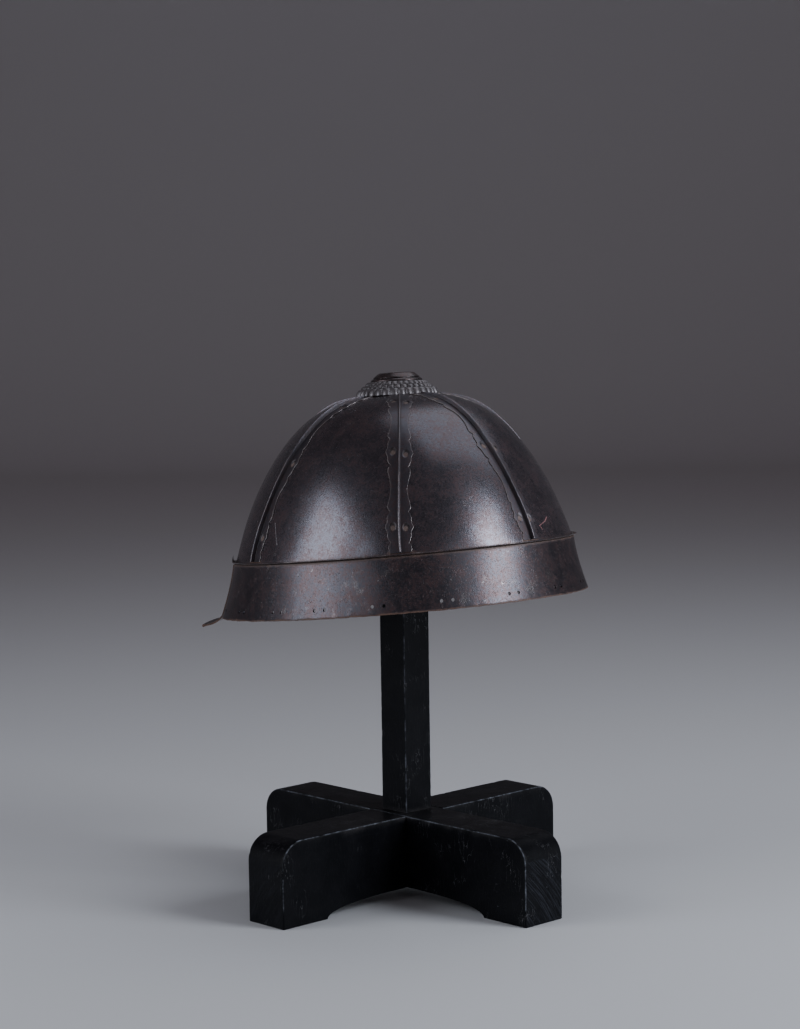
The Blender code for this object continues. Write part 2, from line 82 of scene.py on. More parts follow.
@dataclass(frozen=True)
class Lumps:
    """Smooth seeded noise over space, which makes forged, planed and worn surfaces uneven."""

    seed: int

    def corner(self, cells: Whole) -> Array:
        """Turns whole-number cells into numbers from -1 to 1 by multiplying and folding their bits.

        Args:
            cells: Whole coordinates, shape (..., 3).
        Returns:
            One number a cell.
        """
        x, y, z = (cells[..., i].astype(np.uint32) for i in range(3))
        mixed = x * np.uint32(374761393) + y * np.uint32(668265263) + z * np.uint32(2246822519)
        mixed = mixed + np.uint32(self.seed * 40503 + 977)
        mixed = (mixed ^ (mixed >> np.uint32(13))) * np.uint32(1274126177)
        return (mixed ^ (mixed >> np.uint32(16))) / 2.0**31 - 1.0

    def at(self, points: Array, size: float, octaves: int = 1) -> Array:
        """Blends the eight corners of each point's cell with cubic steps, and adds finer layers.

        Args:
            points: Places, shape (..., 3).
            size: The first layer's cell, in metres. Each further layer halves it, and its strength.
            octaves: The number of layers.
        Returns:
            Noise from about -1 to 1, shape (...).
        """
        total = np.zeros(points.shape[:-1])
        strength, sum_of_strengths = 1.0, 0.0
        for layer in range(octaves):
            scaled = points / size * 2.0**layer
            cell = np.floor(scaled).astype(np.int64)
            share = scaled - cell
            share = share * share * (3.0 - 2.0 * share)
            for offset in itertools.product((0, 1), repeat=3):
                weight = np.prod(np.where(np.array(offset) == 1, share, 1.0 - share), axis=-1)
                total += strength * weight * self.corner(cell + np.array(offset) + 31 * layer)
            sum_of_strengths += strength
            strength *= 0.5
        return total / sum_of_strengths


def smooth_step(low: float, high: float, value: Array) -> Array:
    """Climbs from 0 at low to 1 at high along a cubic; low may be the larger of the two."""
    share = np.clip((value - low) / (high - low), 0.0, 1.0)
    return share * share * (3.0 - 2.0 * share)


def spaced(low: float, high: float, spacing: float) -> Array:
    """Evenly spaced numbers from low to high, no further apart than spacing."""
    return np.linspace(low, high, max(2, math.ceil(abs(high - low) / spacing) + 1))


def rounded_outline(corners: Sequence[Place], spacing: float) -> Array:
    """A closed outline of straight runs joined by arcs.

    At a corner that turns by an angle t, an arc of radius r starts r * tan(t / 2) before the corner.

    Args:
        corners: Rows of x, y and the radius at that corner, going round.
        spacing: The longest step along the straight runs.
    Returns:
        Points, shape (n, 2), the first not repeated at the end.
    """
    count = len(corners)
    places = np.array([row[:2] for row in corners])
    arcs = []
    for i, (_, _, radius) in enumerate(corners):
        before = places[i] - places[i - 1]
        after = places[(i + 1) % count] - places[i]
        before /= np.linalg.norm(before)
        after /= np.linalg.norm(after)
        turn = math.atan2(before[0] * after[1] - before[1] * after[0], before @ after)
        reach = radius * math.tan(abs(turn) / 2)
        steps = max(2, math.ceil(abs(turn) / math.radians(15)) + 1)
        swept = np.linspace(0.0, turn, steps)
        side = math.copysign(1.0, turn)
        normal = side * np.array([-before[1], before[0]])
        start = places[i] - before * reach
        out = radius * np.sin(np.abs(swept))
        across = radius * (1.0 - np.cos(swept))
        arcs.append(start + out[:, None] * before + across[:, None] * normal)
    runs = []
    for i, arc in enumerate(arcs):
        following = arcs[(i + 1) % count]
        length = np.linalg.norm(following[0] - arc[-1])
        steps = max(1, math.ceil(length / spacing))
        shares = np.arange(1, steps)[:, None] / steps
        runs += [arc, arc[-1] + shares * (following[0] - arc[-1])]
    return np.concatenate(runs)


def swept_mesh(name: str, grid: Array, ring: bool, cap: Cap, layers: Layers) -> bpy.types.Mesh:
    """Makes a closed mesh from closed sections.

    Its volume, summed over tetrahedra from the middle of the points, tells which way the faces point.

    Args:
        name: The mesh's name.
        grid: Points, shape (sections, points in a section, 3).
        ring: True where the last section joins the first.
        cap: How the end sections are closed: zipped across a folded section, or filled by one face.
        layers: Attribute names and their values, which spread over the grid's first two dimensions and
            are kept from 0 to 1.
    Returns:
        The mesh, with its faces pointing out.
    """
    rows, columns, _ = grid.shape
    last = rows if ring else rows - 1
    r, c = np.meshgrid(np.arange(last), np.arange(columns), indexing="ij")
    here, below = r * columns, (r + 1) % rows * columns
    beside = (c + 1) % columns
    faces = np.stack((here + c, here + beside, below + beside, below + c), -1).reshape(-1, 4)
    ends: list[list[int]] = []
    if cap is Cap.ZIP:
        i = np.arange(columns // 2 - 1)
        near = np.stack((i, columns - 1 - i, columns - 2 - i, i + 1), -1)
        far = near[:, ::-1] + (rows - 1) * columns
        faces = np.concatenate((faces, near, far))
    elif cap is Cap.FACE:
        ends = [list(range(columns))[::-1], list(range((rows - 1) * columns, rows * columns))]
    points = grid.reshape(-1, 3)
    middle = points.mean(axis=0)
    a, b, d = (points[faces[:, i]] - middle for i in (0, 1, 3))
    e = points[faces[:, 2]] - middle
    volume = np.sum(np.cross(a, b) * e) + np.sum(np.cross(a, e) * d)
    mesh = bpy.data.meshes.new(name)
    flipped = volume < 0
    listed = (faces[:, ::-1] if flipped else faces).tolist()
    listed += [end[::-1] if flipped else end for end in ends]
    mesh.from_pydata(points.tolist(), [], listed)
    for layer, values in layers.items():
        attribute = mesh.attributes.new(layer, "FLOAT", "POINT")
        spread = np.broadcast_to(np.clip(values, 0.0, 1.0), (rows, columns)).astype(np.float32)
        attribute.data.foreach_set("value", spread.ravel())
    mesh.update()
    return mesh


def placed(name: str, data: Any) -> bpy.types.Object:
    """A new object in the scene that shows a mesh, a light or a camera."""
    thing = bpy.data.objects.new(name, data)
    bpy.context.scene.collection.objects.link(thing)
    return thing


def finished_piece(
    name: str,
    mesh: bpy.types.Mesh,
    material: Material,
    nodes: Sequence[str],
    sharp: float = 40.0,
) -> None:
    """Shades a mesh, gives it its material, hangs it on the root body, and hides the solids that it stands
    for.

    Args:
        name: The piece's name.
        mesh: The mesh, with its place in its points.
        material: The finish.
        nodes: The solids that the piece stands for.
        sharp: The angle in degrees past which an edge stays sharp.
    """
    mesh.shade_smooth()
    mesh.set_sharp_from_angle(angle=math.radians(sharp))
    mesh.materials.append(material)
    piece = placed(name, mesh)
    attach(piece, ROOT)
    if nodes:
        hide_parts(*nodes)
    log.info("%s: %d faces, for %s", name, len(mesh.polygons), ", ".join(nodes) or "no solid")


def released(bm: bmesh.types.BMesh, name: str) -> bpy.types.Mesh:
    """Writes a working mesh to a new mesh, and frees it."""
    mesh = bpy.data.meshes.new(name)
    bm.to_mesh(mesh)
    bm.free()
    return mesh


def cut_mesh(mesh: bpy.types.Mesh, cutter: bpy.types.Mesh) -> bpy.types.Mesh:
    """Takes one mesh out of another with an exact Boolean, and returns the result as a new mesh."""
    kept, tool = placed("cut_target", mesh), placed("cut_tool", cutter)
    boolean = kept.modifiers.new("cut", "BOOLEAN")
    boolean.operation = "DIFFERENCE"
    boolean.solver = "EXACT"
    boolean.object = tool
    graph = bpy.context.evaluated_depsgraph_get()
    result = bpy.data.meshes.new_from_object(kept.evaluated_get(graph))
    result.name = mesh.name
    for thing in (kept, tool):
        bpy.data.objects.remove(thing, do_unlink=True)
    return result


def post_axis() -> Vector:
    """The place on the floor under the middle of the post."""
    low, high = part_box("post")
    return Vector(((low.x + high.x) / 2, (low.y + high.y) / 2, 0.0))


def carried(points: Array, matrix: Matrix) -> Array:
    """Points turned and moved by a matrix, whatever the shape of their array."""
    m = np.array(matrix)
    return points @ m[:3, :3].T + m[:3, 3]


class Signal:
    """A shader value that Python arithmetic combines, adding a Math node for each step."""

    def __init__(self, recipe: "Recipe", socket: bpy.types.NodeSocket) -> None:
        """Keeps the socket, and the recipe that its nodes belong to."""
        self.recipe = recipe
        self.socket = socket

    def math(self, operation: str, *others: Any) -> "Signal":
        """Adds a Math node.

        Args:
            operation: The node's operation.
            others: Its further inputs, numbers or signals.
        Returns:
            The node's result.
        """
        inputs = dict(enumerate((self, *others)))
        return self.recipe.node("ShaderNodeMath", {"operation": operation}, inputs).signal(0)

    def at_most(self, limit: float) -> "Signal":
        """This, or the limit where this is larger."""
        return self.math("MINIMUM", limit)

    def at_least(self, limit: float) -> "Signal":
        """This, or the limit where this is smaller."""
        return self.math("MAXIMUM", limit)

    def __add__(self, other: Any) -> "Signal":
        """The sum."""
        return self.math("ADD", other)

    def __radd__(self, other: Any) -> "Signal":
        """The sum, with a number on the left."""
        return self.math("ADD", other)

    def __sub__(self, other: Any) -> "Signal":
        """The difference."""
        return self.math("SUBTRACT", other)

    def __rsub__(self, other: Any) -> "Signal":
        """A number less this."""
        return (self * -1.0).math("ADD", other)

    def __mul__(self, other: Any) -> "Signal":
        """The product."""
        return self.math("MULTIPLY", other)

    def __rmul__(self, other: Any) -> "Signal":
        """The product, with a number on the left."""
        return self.math("MULTIPLY", other)

    def step(self, low: float, high: float) -> "Signal":
        """Climbs smoothly from 0 at low to 1 at high, or falls where low is the larger."""
        settings = {"interpolation_type": "SMOOTHSTEP"}
        if low < high:
            return self.recipe.node("ShaderNodeMapRange", settings, {0: self, 1: low, 2: high}).signal(0)
        return 1.0 - self.step(high, low)


class Added:
    """A node just added to a recipe."""

    def __init__(self, recipe: "Recipe", node: bpy.types.Node) -> None:
        """Keeps the node, and the recipe that it belongs to."""
        self.recipe = recipe
        self.node = node

    def signal(self, output: Any) -> Signal:
        """One output, as a signal."""
        return Signal(self.recipe, self.node.outputs[output])


class Recipe:
    """A material's nodes, written as expressions."""

    def __init__(self, name: str) -> None:
        """Starts a material that holds only its shader."""
        self.material = bpy.data.materials.new(name)
        self.material.use_nodes = True
        self.tree = self.material.node_tree
        self.shader = self.tree.nodes["Principled BSDF"]
        self.place = self.node("ShaderNodeTexCoord").signal("Object")

    def node(self, kind: str, settings: dict[str, Any] | None = None, inputs: dict | None = None) -> Added:
        """Adds a node of any type.

        Args:
            kind: The node's type.
            settings: Its settings, set first.
            inputs: Values, sockets or signals for its sockets, by name or number.
        Returns:
            The node.
        """
        made = self.tree.nodes.new(kind)
        for key, value in (settings or {}).items():
            setattr(made, key, value)
        for key, value in (inputs or {}).items():
            self.feed(made.inputs[key], value)
        return Added(self, made)

    def feed(self, socket: bpy.types.NodeSocket, value: Any) -> None:
        """Links a signal to a socket, or sets the socket's own value."""
        if isinstance(value, Signal):
            self.tree.links.new(value.socket, socket)
        else:
            socket.default_value = value

    def attribute(self, name: str) -> Signal:
        """A value kept on the mesh's points."""
        return self.node("ShaderNodeAttribute", {"attribute_name": name}).signal("Fac")

    def stretched(self, scale: Place, turn: Place = (0.0, 0.0, 0.0)) -> Signal:
        """Object coordinates scaled along each axis, and turned, for grain and streaks."""
        inputs = {0: self.place, "Rotation": turn, "Scale": scale}
        return self.node("ShaderNodeMapping", None, inputs).signal(0)

    def noise(
        self, size: float, detail: float = 2.0, rough: float = 0.5, place: Signal | None = None
    ) -> Signal:
        """Noise from 0 to 1 with lumps of a size in metres, or in units of the given coordinates."""
        inputs = {"Vector": place or self.place, "Scale": 1.0 / size, "Detail": detail, "Roughness": rough}
        return self.node("ShaderNodeTexNoise", None, inputs).signal(0)

    def cells(self, size: float) -> Signal:
        """The distance from the nearest of many scattered points, about a size apart."""
        inputs = {"Vector": self.place, "Scale": 1.0 / size}
        return self.node("ShaderNodeTexVoronoi", None, inputs).signal("Distance")

    def vector(self, operation: str, *inputs: Any, output: Any = 0) -> Signal:
        """A Vector Math node's result, or its number with output "Value"."""
        settings = {"operation": operation}
        return self.node("ShaderNodeVectorMath", settings, dict(enumerate(inputs))).signal(output)

    def stroke(self, start: Place, end: Place, half_width: float) -> Signal:
        """A soft line from one place to another: 1 on it, and 0 beyond its half width.

        The nearest place on the line is start + share * (end - start), where share is the part of the way
        from start to end, kept from 0 to 1.
        """
        way = Vector(end) - Vector(start)
        beside = self.vector("SUBTRACT", self.place, start)
        share = self.vector("DOT_PRODUCT", beside, tuple(way / way.length_squared), output="Value")
        nearest = self.vector("MULTIPLY_ADD", share.at_least(0.0).at_most(1.0), tuple(way), start)
        gap = self.vector("DISTANCE", self.place, nearest, output="Value")
        return gap.step(half_width, 0.3 * half_width)

    def mix(self, share: Any, first: Any, second: Any) -> Signal:
        """A colour between two colours."""
        first, second = ((*c, 1.0) if isinstance(c, tuple) else c for c in (first, second))
        settings = {"data_type": "RGBA", "clamp_factor": True}
        return self.node("ShaderNodeMix", settings, {0: share, 6: first, 7: second}).signal(2)

    def bump(self, layers: Sequence[tuple[Signal, float]]) -> Signal:
        """Chains a Bump node for each height signal and its depth in metres."""
        normal: Signal | None = None
        for height, depth in layers:
            inputs: dict[str, Any] = {"Height": height, "Distance": depth, "Strength": 1.0}
            if normal:
                inputs["Normal"] = normal
            normal = self.node("ShaderNodeBump", None, inputs).signal("Normal")
        assert normal is not None
        return normal

    def finish(self, **inputs: Any) -> Material:
        """Feeds the shader's sockets, whose names are given with underscores for spaces."""
        sockets = {socket.name.lower(): socket for socket in self.shader.inputs}
        for key, value in inputs.items():
            self.feed(sockets[key.replace("_", " ")], value)
        return self.material


@dataclass(frozen=True)
class ForgedIron:
    """Iron under a dark russet patina: satin, mottled, pitted, rusty at seams and bright where rubbed.

    It reads three values kept on the mesh: rust near seams and edges, wear on crests and rims, and a shade
    value that paints shade into the colour in hollows, just under the band's lip, on the ribs' flanks and
    below the tops of the crown's rings. Single scratches are soft lines, each with its own colour.
    """

    name: str
    patina: Colour = (0.126, 0.125, 0.147)
    russet: Colour = (0.108, 0.044, 0.038)
    rust: Colour = (0.120, 0.058, 0.032)
    worn: Colour = (0.40, 0.37, 0.36)
    pit: Colour = (0.030, 0.020, 0.017)
    fleck: Colour = (0.045, 0.032, 0.030)
    brushed: Colour = (0.075, 0.062, 0.064)
    # The colour of the painted shade, laid on where the shade value is high
    hollow: Colour = (0.018, 0.013, 0.012)
    roughness: float = 0.265
    metal: float = 0.94
    shine: float = 0.9
    russet_share: float = 0.55
    pit_size: float = 0.0011
    pit_depth: float = 0.00007
    pit_share: float = 0.30
    streaks: float = 1.0
    clouds: float = 0.6
    speckled: float = 0.50
    scratches: tuple[Stroke, ...] = ()
    scratch_half_width: float = 0.00042

    def material(self) -> Material:
        """Builds the finish.

        Returns:
            The material.
        """
        r = Recipe(self.name)
        mottle = r.noise(0.024, 4.0, 0.60)
        blotch = r.noise(0.0075, 4.0, 0.62)
        grain = r.noise(0.00070, 2.0, 0.6)
        speckle = r.noise(0.0016, 3.0, 0.7)
        streak = r.noise(1.0, 2.0, 0.6, r.stretched((1300.0, 1300.0, 80.0)))
        cloud = r.noise(0.010, 6.0, 0.74)
        pitted = r.noise(0.005, 3.0, 0.6).step(0.66 - self.pit_share * 0.4, 0.74)
        pits = r.cells(self.pit_size).step(0.36, 0.10) * pitted
        specks = speckle.step(0.60, 0.72)
        glints = speckle.step(0.36, 0.28) * blotch.step(0.50, 0.62)
        rust = (r.attribute("rust") * (0.55 + 0.9 * blotch)).step(0.30, 0.90)
        wear = (r.attribute("wear") * (0.40 + 1.2 * blotch)).step(0.30, 1.0)
        shade = r.attribute("shade")

        red = (mottle * 0.15 + blotch * 0.35 + speckle * 0.5).step(0.42, 0.62) * self.russet_share
        rubbed = cloud.step(0.56, 0.68) * self.clouds
        brushed = (streak - 0.5).math("ABSOLUTE").step(0.04, 0.16)
        colour = r.mix(red, self.patina, self.russet)
        colour = r.mix(rubbed * 0.16, colour, self.worn)
        colour = r.mix(pits * 0.70, colour, self.pit)
        colour = r.mix((specks * self.speckled).at_most(0.9), colour, self.fleck)
        colour = r.mix(glints * self.speckled, colour, self.worn)
        colour = r.mix(brushed * 0.35, colour, self.brushed)
        colour = r.mix(rust * 0.80, colour, self.rust)
        colour = r.mix(wear * 0.75, colour, self.worn)
        scratched: Signal | float = 0.0
        for start, end, scratch_colour in self.scratches:
            scratch = (r.stroke(start, end, self.scratch_half_width) * (0.3 + speckle)).at_most(1.0)
            colour = r.mix(scratch, colour, scratch_colour)
            scratched = scratch + scratched
        # Painted shade: the shade value darkens the colour towards the hollow colour
        colour = r.mix(shade * 0.8, colour, self.hollow)

        rough = self.roughness + 0.07 * (mottle - 0.5) + 0.14 * (grain - 0.5) + 0.12 * (streak - 0.5)
        rough = rough + 0.20 * pits + 0.12 * specks + 0.04 * red + 0.26 * rust - 0.04 * rubbed
        rough = (rough + 0.15 * shade).at_most(0.95)
        metal = self.metal - 0.42 * red - 0.50 * rust - 0.30 * pits - 0.25 * shade
        metal = (metal - 0.8 * scratched).at_least(0.0)
        normal = r.bump(
            (
                (mottle, 0.00007),
                (blotch, 0.00001),
                (streak, 0.00003 * self.streaks),
                (pits * -1.0, self.pit_depth),
                (speckle, 0.000012),
                (grain, 0.00002),
                (rust * blotch, 0.00018),
            )
        )
        return r.finish(
            base_color=colour, roughness=rough, metallic=metal, specular_ior_level=self.shine, normal=normal
        )


@dataclass(frozen=True)
class BlackPaintedWood:
    """Black paint on planed wood: satin, with faint grain along the length, rubbed pale edges and dust.

    It reads three values kept on the mesh: edge along the arrises, dust on upward faces, and sawn on the
    cut ends.
    """

    name: str
    # How finely the grain changes along each axis, in lines a metre
    grain: Place
    paint: Colour = (0.0030, 0.0033, 0.0044)
    thick_paint: Colour = (0.0062, 0.0064, 0.0082)
    bare: Colour = (0.21, 0.23, 0.27)
    dust: Colour = (0.060, 0.056, 0.058)
    sawn: Colour = (0.042, 0.046, 0.058)
    scratched: Colour = (0.15, 0.15, 0.16)
    roughness: float = 0.37
    shine: float = 0.075
    # The saw's strokes are arcs about this place
    saw_centre: Place = (0.0, 0.0, 0.0)
    saw_share: float = 1.0
    saw_strokes_a_metre: float = 1500.0
    saw_drift: float = 70.0
    scratch_scale: Place = (70.0, 70.0, 18.0)
    scratch_turn: Place = (0.5, 0.4, 0.3)

    def material(self) -> Material:
        """Builds the finish.

        Returns:
            The material.
        """
        r = Recipe(self.name)
        grain = r.noise(1.0, 3.0, 0.6, r.stretched(self.grain))
        patch = r.noise(0.012, 4.0, 0.6)
        fine = r.noise(0.0011, 2.0, 0.6)
        away = r.vector("DISTANCE", r.place, self.saw_centre, output="Value") * self.saw_strokes_a_metre
        arc = r.node("ShaderNodeCombineXYZ", None, {0: away, 1: 0.3}).signal(0)
        strokes = r.vector("MULTIPLY_ADD", r.place, (self.saw_drift,) * 3, arc)
        saw = r.noise(1.0, 2.0, 0.7, strokes).step(0.46, 0.70) * (r.attribute("sawn") * self.saw_share)

        level = r.noise(0.2, 2.0, 0.5, r.stretched(self.scratch_scale, self.scratch_turn))
        line = (level - 0.5).math("ABSOLUTE").step(0.0050, 0.0010)
        scratched = line * r.noise(0.018, 1.0).step(0.54, 0.62) * 0.8
        edge = (r.attribute("edge") * (0.25 + 1.30 * r.noise(0.0045, 4.0, 0.7))).step(0.52, 0.98)
        chip = r.noise(0.0021, 2.0, 0.6).step(0.745, 0.775) * r.noise(0.02, 1.0).step(0.5, 0.6)
        dust = r.attribute("dust") * (0.15 + 0.85 * (patch * 0.7 + fine * 0.3).step(0.42, 0.68))

        colour = r.mix(patch.step(0.35, 0.7) * 0.5, self.paint, self.thick_paint)
        colour = r.mix(dust * 0.55, colour, self.dust)
        colour = r.mix(saw * 0.45, colour, self.sawn)
        colour = r.mix(scratched, colour, self.scratched)
        colour = r.mix(chip * 0.6, colour, self.bare)
        colour = r.mix(edge * 0.85, colour, self.bare)
        rough = self.roughness + 0.14 * (patch - 0.5) + 0.08 * (grain - 0.5)
        rough = rough + 0.28 * dust + 0.15 * edge + 0.08 * saw
        normal = r.bump(
            (
                (grain, 0.00005),
                (patch, 0.00008),
                (fine, 0.00002),
                (saw, 0.00007),
                (line * -1.0, 0.00003),
            )
        )
        return r.finish(base_color=colour, roughness=rough, specular_ior_level=self.shine, normal=normal)


@dataclass(frozen=True)
class HelmetPose:
    """Where the helmet frame lies in the part's frame."""

    seam_height: float = 0.2230
    rear_heading: float = math.radians(67.5)
    front_down: float = math.radians(5.97)
    left_down: float = math.radians(2.25)

    def matrix(self) -> Matrix:
        """The frame's turn and place: its origin is on the post's axis."""
        origin = post_axis() + Vector((0.0, 0.0, self.seam_height))
        turn = Euler((self.left_down, -self.front_down, self.rear_heading)).to_matrix().to_4x4()
        return Matrix.Translation(origin) @ turn


@dataclass(frozen=True)
class Dome:
    """The bowl's outer face, over an oval seam, with its crown a little behind the middle.

    With climb c from 0 at the seam to a right angle at the pole, the seam's oval is scaled by
    cos(c) ** (2 / side power) and the height is sin(c) ** (2 / top power) times the dome's height. The
    crown shifts and the top tilts with powers of that height.
    """

    half_length: float = 0.1159
    half_width: float = 0.1051
    height: float = 0.0973
    side_power: float = 3.0
    top_power: float = 1.12
    shift_rear: float = 0.0046
    shift_right: float = 0.0035
    shift_power: float = 1.6
    fall_rear: float = 0.022
    fall_right: float = 0.029
    lump_size: float = 0.034
    lump_depth: float = 0.00030
    dent_size: float = 0.011
    dent_depth: float = 0.00006
    lumps: Lumps = Lumps(3)

    def point(self, angle: Array, climb: Array) -> Array:
        """Points on the plain dome, for arrays of angles and climbs of the same shape."""
        reach = np.maximum(np.cos(climb), 0.0) ** (2.0 / self.side_power)
        rise = np.maximum(np.sin(climb), 0.0) ** (2.0 / self.top_power)
        lean = rise**self.shift_power
        x = self.half_length * reach * np.cos(angle) + self.shift_rear * lean
        y = self.half_width * reach * np.sin(angle) + self.shift_right * lean
        z = self.height * rise - (self.fall_rear * x + self.fall_right * y) * rise**2
        return np.stack((x, y, z), axis=-1)

    def radius(self, climb: Array) -> Array:
        """The mean radius of the dome's section at a climb."""
        reach = np.maximum(np.cos(climb), 0.0) ** (2.0 / self.side_power)
        return reach * (self.half_length + self.half_width) / 2

    def lifted(self, angle: Array, climb: Array, lift: Array | float) -> Array:
        """Points at a lift outside the dome, along its normal, with the marks of the hammer.

        The normal is the cross product of two small steps, round the dome and up it.
        """
        step = 0.01
        angle, climb = np.broadcast_arrays(angle, climb)
        here = self.point(angle, climb)
        across = self.point(angle + step, climb) - self.point(angle - step, climb)
        upward = self.point(angle, np.minimum(climb + step, math.pi / 2))
        upward = upward - self.point(angle, np.maximum(climb - step, 0.0))
        normal = np.cross(across, upward)
        normal /= np.linalg.norm(normal, axis=-1, keepdims=True)
        hammered = self.lump_depth * self.lumps.at(here, self.lump_size)
        hammered += self.dent_depth * self.lumps.at(here, self.dent_size)
        hammered *= smooth_step(0.0, 0.012, here[..., 2])
        return here + normal * (lift + hammered)[..., None]

    def walk(self, angle: float) -> tuple[Array, Array]:
        """The distance walked up one meridian from the seam, and the climb there, as two arrays."""
        climbs = np.linspace(0.0, math.pi / 2, 481)
        points = self.point(np.full_like(climbs, angle), climbs)
        steps = np.linalg.norm(np.diff(points, axis=0), axis=1)
        return np.concatenate(([0.0], np.cumsum(steps))), climbs

    def fall(self, radius: Array | float) -> Array | float:
        """How far the dome has fallen below its pole at a radius."""
        reach = radius * 2 / (self.half_length + self.half_width)
        return self.height * (1 - (1 - reach**self.side_power) ** (1 / self.top_power))


@dataclass(frozen=True)
class Ribs:
    """The six ribs: where they stand, and the shape of the strip that carries each."""

    angles: dict[str, float] = field(
        default_factory=lambda: {
            "rear_right": math.radians(23.8),
            "side_right": math.radians(82.3),
            "front_right": math.radians(137.0),
            "front_left": math.radians(223.0),
            "side_left": math.radians(277.7),
            "rear_left": math.radians(336.2),
        }
    )
    # How far a rib strays sideways from its meridian, at the most
    bows: dict[str, float] = field(
        default_factory=lambda: {"rear_right": -0.0050, "side_left": 0.0054, "rear_left": 0.0021}
    )
    bow_start: float = math.radians(10)
    bow_full: float = math.radians(58)
    # The radii of the dome between which a rib comes back to its meridian, near the crown
    bow_fade: tuple[float, float] = (0.0165, 0.0275)
    underside: float = 0.0001
    thickness: float = 0.00045
    end_radius: float = 0.0205
    # The rib that stands on the strip, and gets lower over its last run before its end near the crown
    flange_thickness: float = 0.0008
    fillet: float = 0.00025
    flange_height: float = 0.0028
    flange_end_height: float = 0.0012
    flange_end_radius: float = 0.0282
    flange_run_down: float = 0.022
    flange_run_out: float = 0.0012
    rivet_period: float = 0.0498
    first_rivet: float = 0.0164
    rivet_across: float = 0.0041
    rivet_half_width: float = 0.0021
    rivet_half_length: float = 0.0028
    rivet_depth: float = 0.00042
    burr_height: float = 0.00005
    # The rivets on a rib's right lie closer together by this share, and those on its left further apart
    rivet_stagger: float = 0.013
    first_rivet_stagger: float = 0.0005
    rivet_shifts: dict[str, float] = field(default_factory=lambda: {"rear_right": -0.0018})
    nominal_half_width: float = 0.0070
    cut_depth: float = 0.00045
    cut_size: float = 0.0052
    bend_depth: float = 0.00022
    bend_size: float = 0.017
    # Distance from the nearest rivet along the rib, and the strip's half width there
    scallop: tuple[tuple[float, float], ...] = (
        (0.0000, 0.0087),
        (0.0012, 0.0082),
        (0.0030, 0.0074),
        (0.0060, 0.0074),
        (0.0082, 0.0068),
        (0.0098, 0.0056),
        (0.0112, 0.0069),
        (0.0130, 0.0073),
        (0.0160, 0.0066),
        (0.0200, 0.0056),
        (0.0249, 0.0051),
    )
    uneven: Lumps = Lumps(11)

    def strayed(self, name: str, climb: Array, radius: Array) -> Array:
        """How far beside its meridian a rib lies, at a climb where the dome has that radius."""
        share = smooth_step(self.bow_start, self.bow_full, climb) * smooth_step(*self.bow_fade, radius)
        return self.bows.get(name, 0.0) * share

    def from_rivet(self, name: str, distance: Array, side: Array | float) -> Array:
        """The signed distance along the rib to the nearest rivet, on the left (-1) or right (1) side."""
        period = self.rivet_period * (1 - self.rivet_stagger * side)
        first = self.first_rivet - self.first_rivet_stagger * side + self.rivet_shifts.get(name, 0.0)
        return (distance - first + period / 2) % period - period / 2

    def half_width(self, name: str, distance: Array, side: float, seed: float) -> Array:
        """The strip's half width along the rib, read from the scallop and unevenly cut by hand."""
        nearest, widths = np.array(self.scallop).T
        plain = np.interp(np.abs(self.from_rivet(name, distance, side)), nearest, widths)
        place = np.stack((distance, np.full_like(distance, side), np.full_like(distance, seed)), -1)
        return plain + self.cut_depth * self.uneven.at(place, self.cut_size, 2)

    @property
    def top(self) -> float:
        """The lift of a strip's upper face off the dome."""
        return self.underside + self.thickness

    @property
    def foot(self) -> float:
        """Half the standing rib's thickness, with the fillet at its foot."""
        return self.flange_thickness / 2 + self.fillet

    def section(self) -> Array:
        """A strip's closed section as (across, lift): flat, with the rounded rib standing on it.

        Its flat underside keeps every seventh point, and the section starts at the first of them.
        """
        low, top = self.underside, self.top
        half, side = self.nominal_half_width, self.flange_thickness / 2
        crest = top + self.flange_height
        outline = rounded_outline(
            (
                (-half, low, 0.00005),
                (-half, top, 0.00018),
                (-side, top, 0.00020),
                (-side, crest, 0.00038),
                (side, crest, 0.00038),
                (side, top, 0.00020),
                (half, top, 0.00018),
                (half, low, 0.00005),
            ),
            0.00031,
        )
        beneath = outline[:, 1] < low + 1e-5
        start = int(np.argmax(beneath))
        outline = outline[~beneath | (np.arange(len(outline)) % 7 == start % 7)]
        return np.roll(outline, -int(np.argmax(outline[:, 1] < low + 1e-5)), axis=0)

    def outwards(self, across: Array) -> Array:
        """The way of a section's point from the rib's foot, 0, to the strip's edge, 1."""
        return np.maximum(np.abs(across) - self.foot, 0.0) / (self.nominal_half_width - self.foot)

    def spread(self, name: str, seed: int, distance: Array, across: Array, lift: Array) -> Array:
        """How far beside the rib's line the points of a strip lie.

        Each side of the section is stretched to the scallop, and the standing rib bends a little.

        Args:
            name: The rib.
            seed: A number that makes the rib's unevenness its own.
            distance: The sections' distances along the rib, shape (sections,).
            across: The points' distances across in the plain section.
            lift: The points' lifts in it.
        Returns:
            Distances, negative on the left, shape (sections, points in a section).
        """
        left, right = (self.half_width(name, distance, side, seed)[:, None] for side in (-1.0, 1.0))
        stretched = self.foot + self.outwards(across) * (np.where(across < 0, left, right) - self.foot)
        spread = np.sign(across) * np.where(np.abs(across) < self.foot, np.abs(across), stretched)
        line = np.stack((distance, distance * 0, distance * 0 + seed), -1)
        bend = self.bend_depth * self.uneven.at(line, self.bend_size)[:, None]
        return spread + bend * np.clip((lift - self.top) / self.flange_height, 0.0, 1.0)

    def risen(self, to_end: Array, lift: Array) -> tuple[Array, Array]:
        """Lowers the standing rib towards its end near the crown.

        Args:
            to_end: The sections' distances to that end.
            lift: The points' lifts in the plain section.
        Returns:
            1 where the rib stands and 0 past its end, and the points' lifts.
        """
        standing = smooth_step(-self.flange_run_out, 0.0, to_end)
        cut_down = 1 - self.flange_end_height / self.flange_height
        share = standing * (1 - cut_down * smooth_step(self.flange_run_down, 0.0, to_end))
        return standing, np.where(lift > self.top, self.top + (lift - self.top) * share, lift)

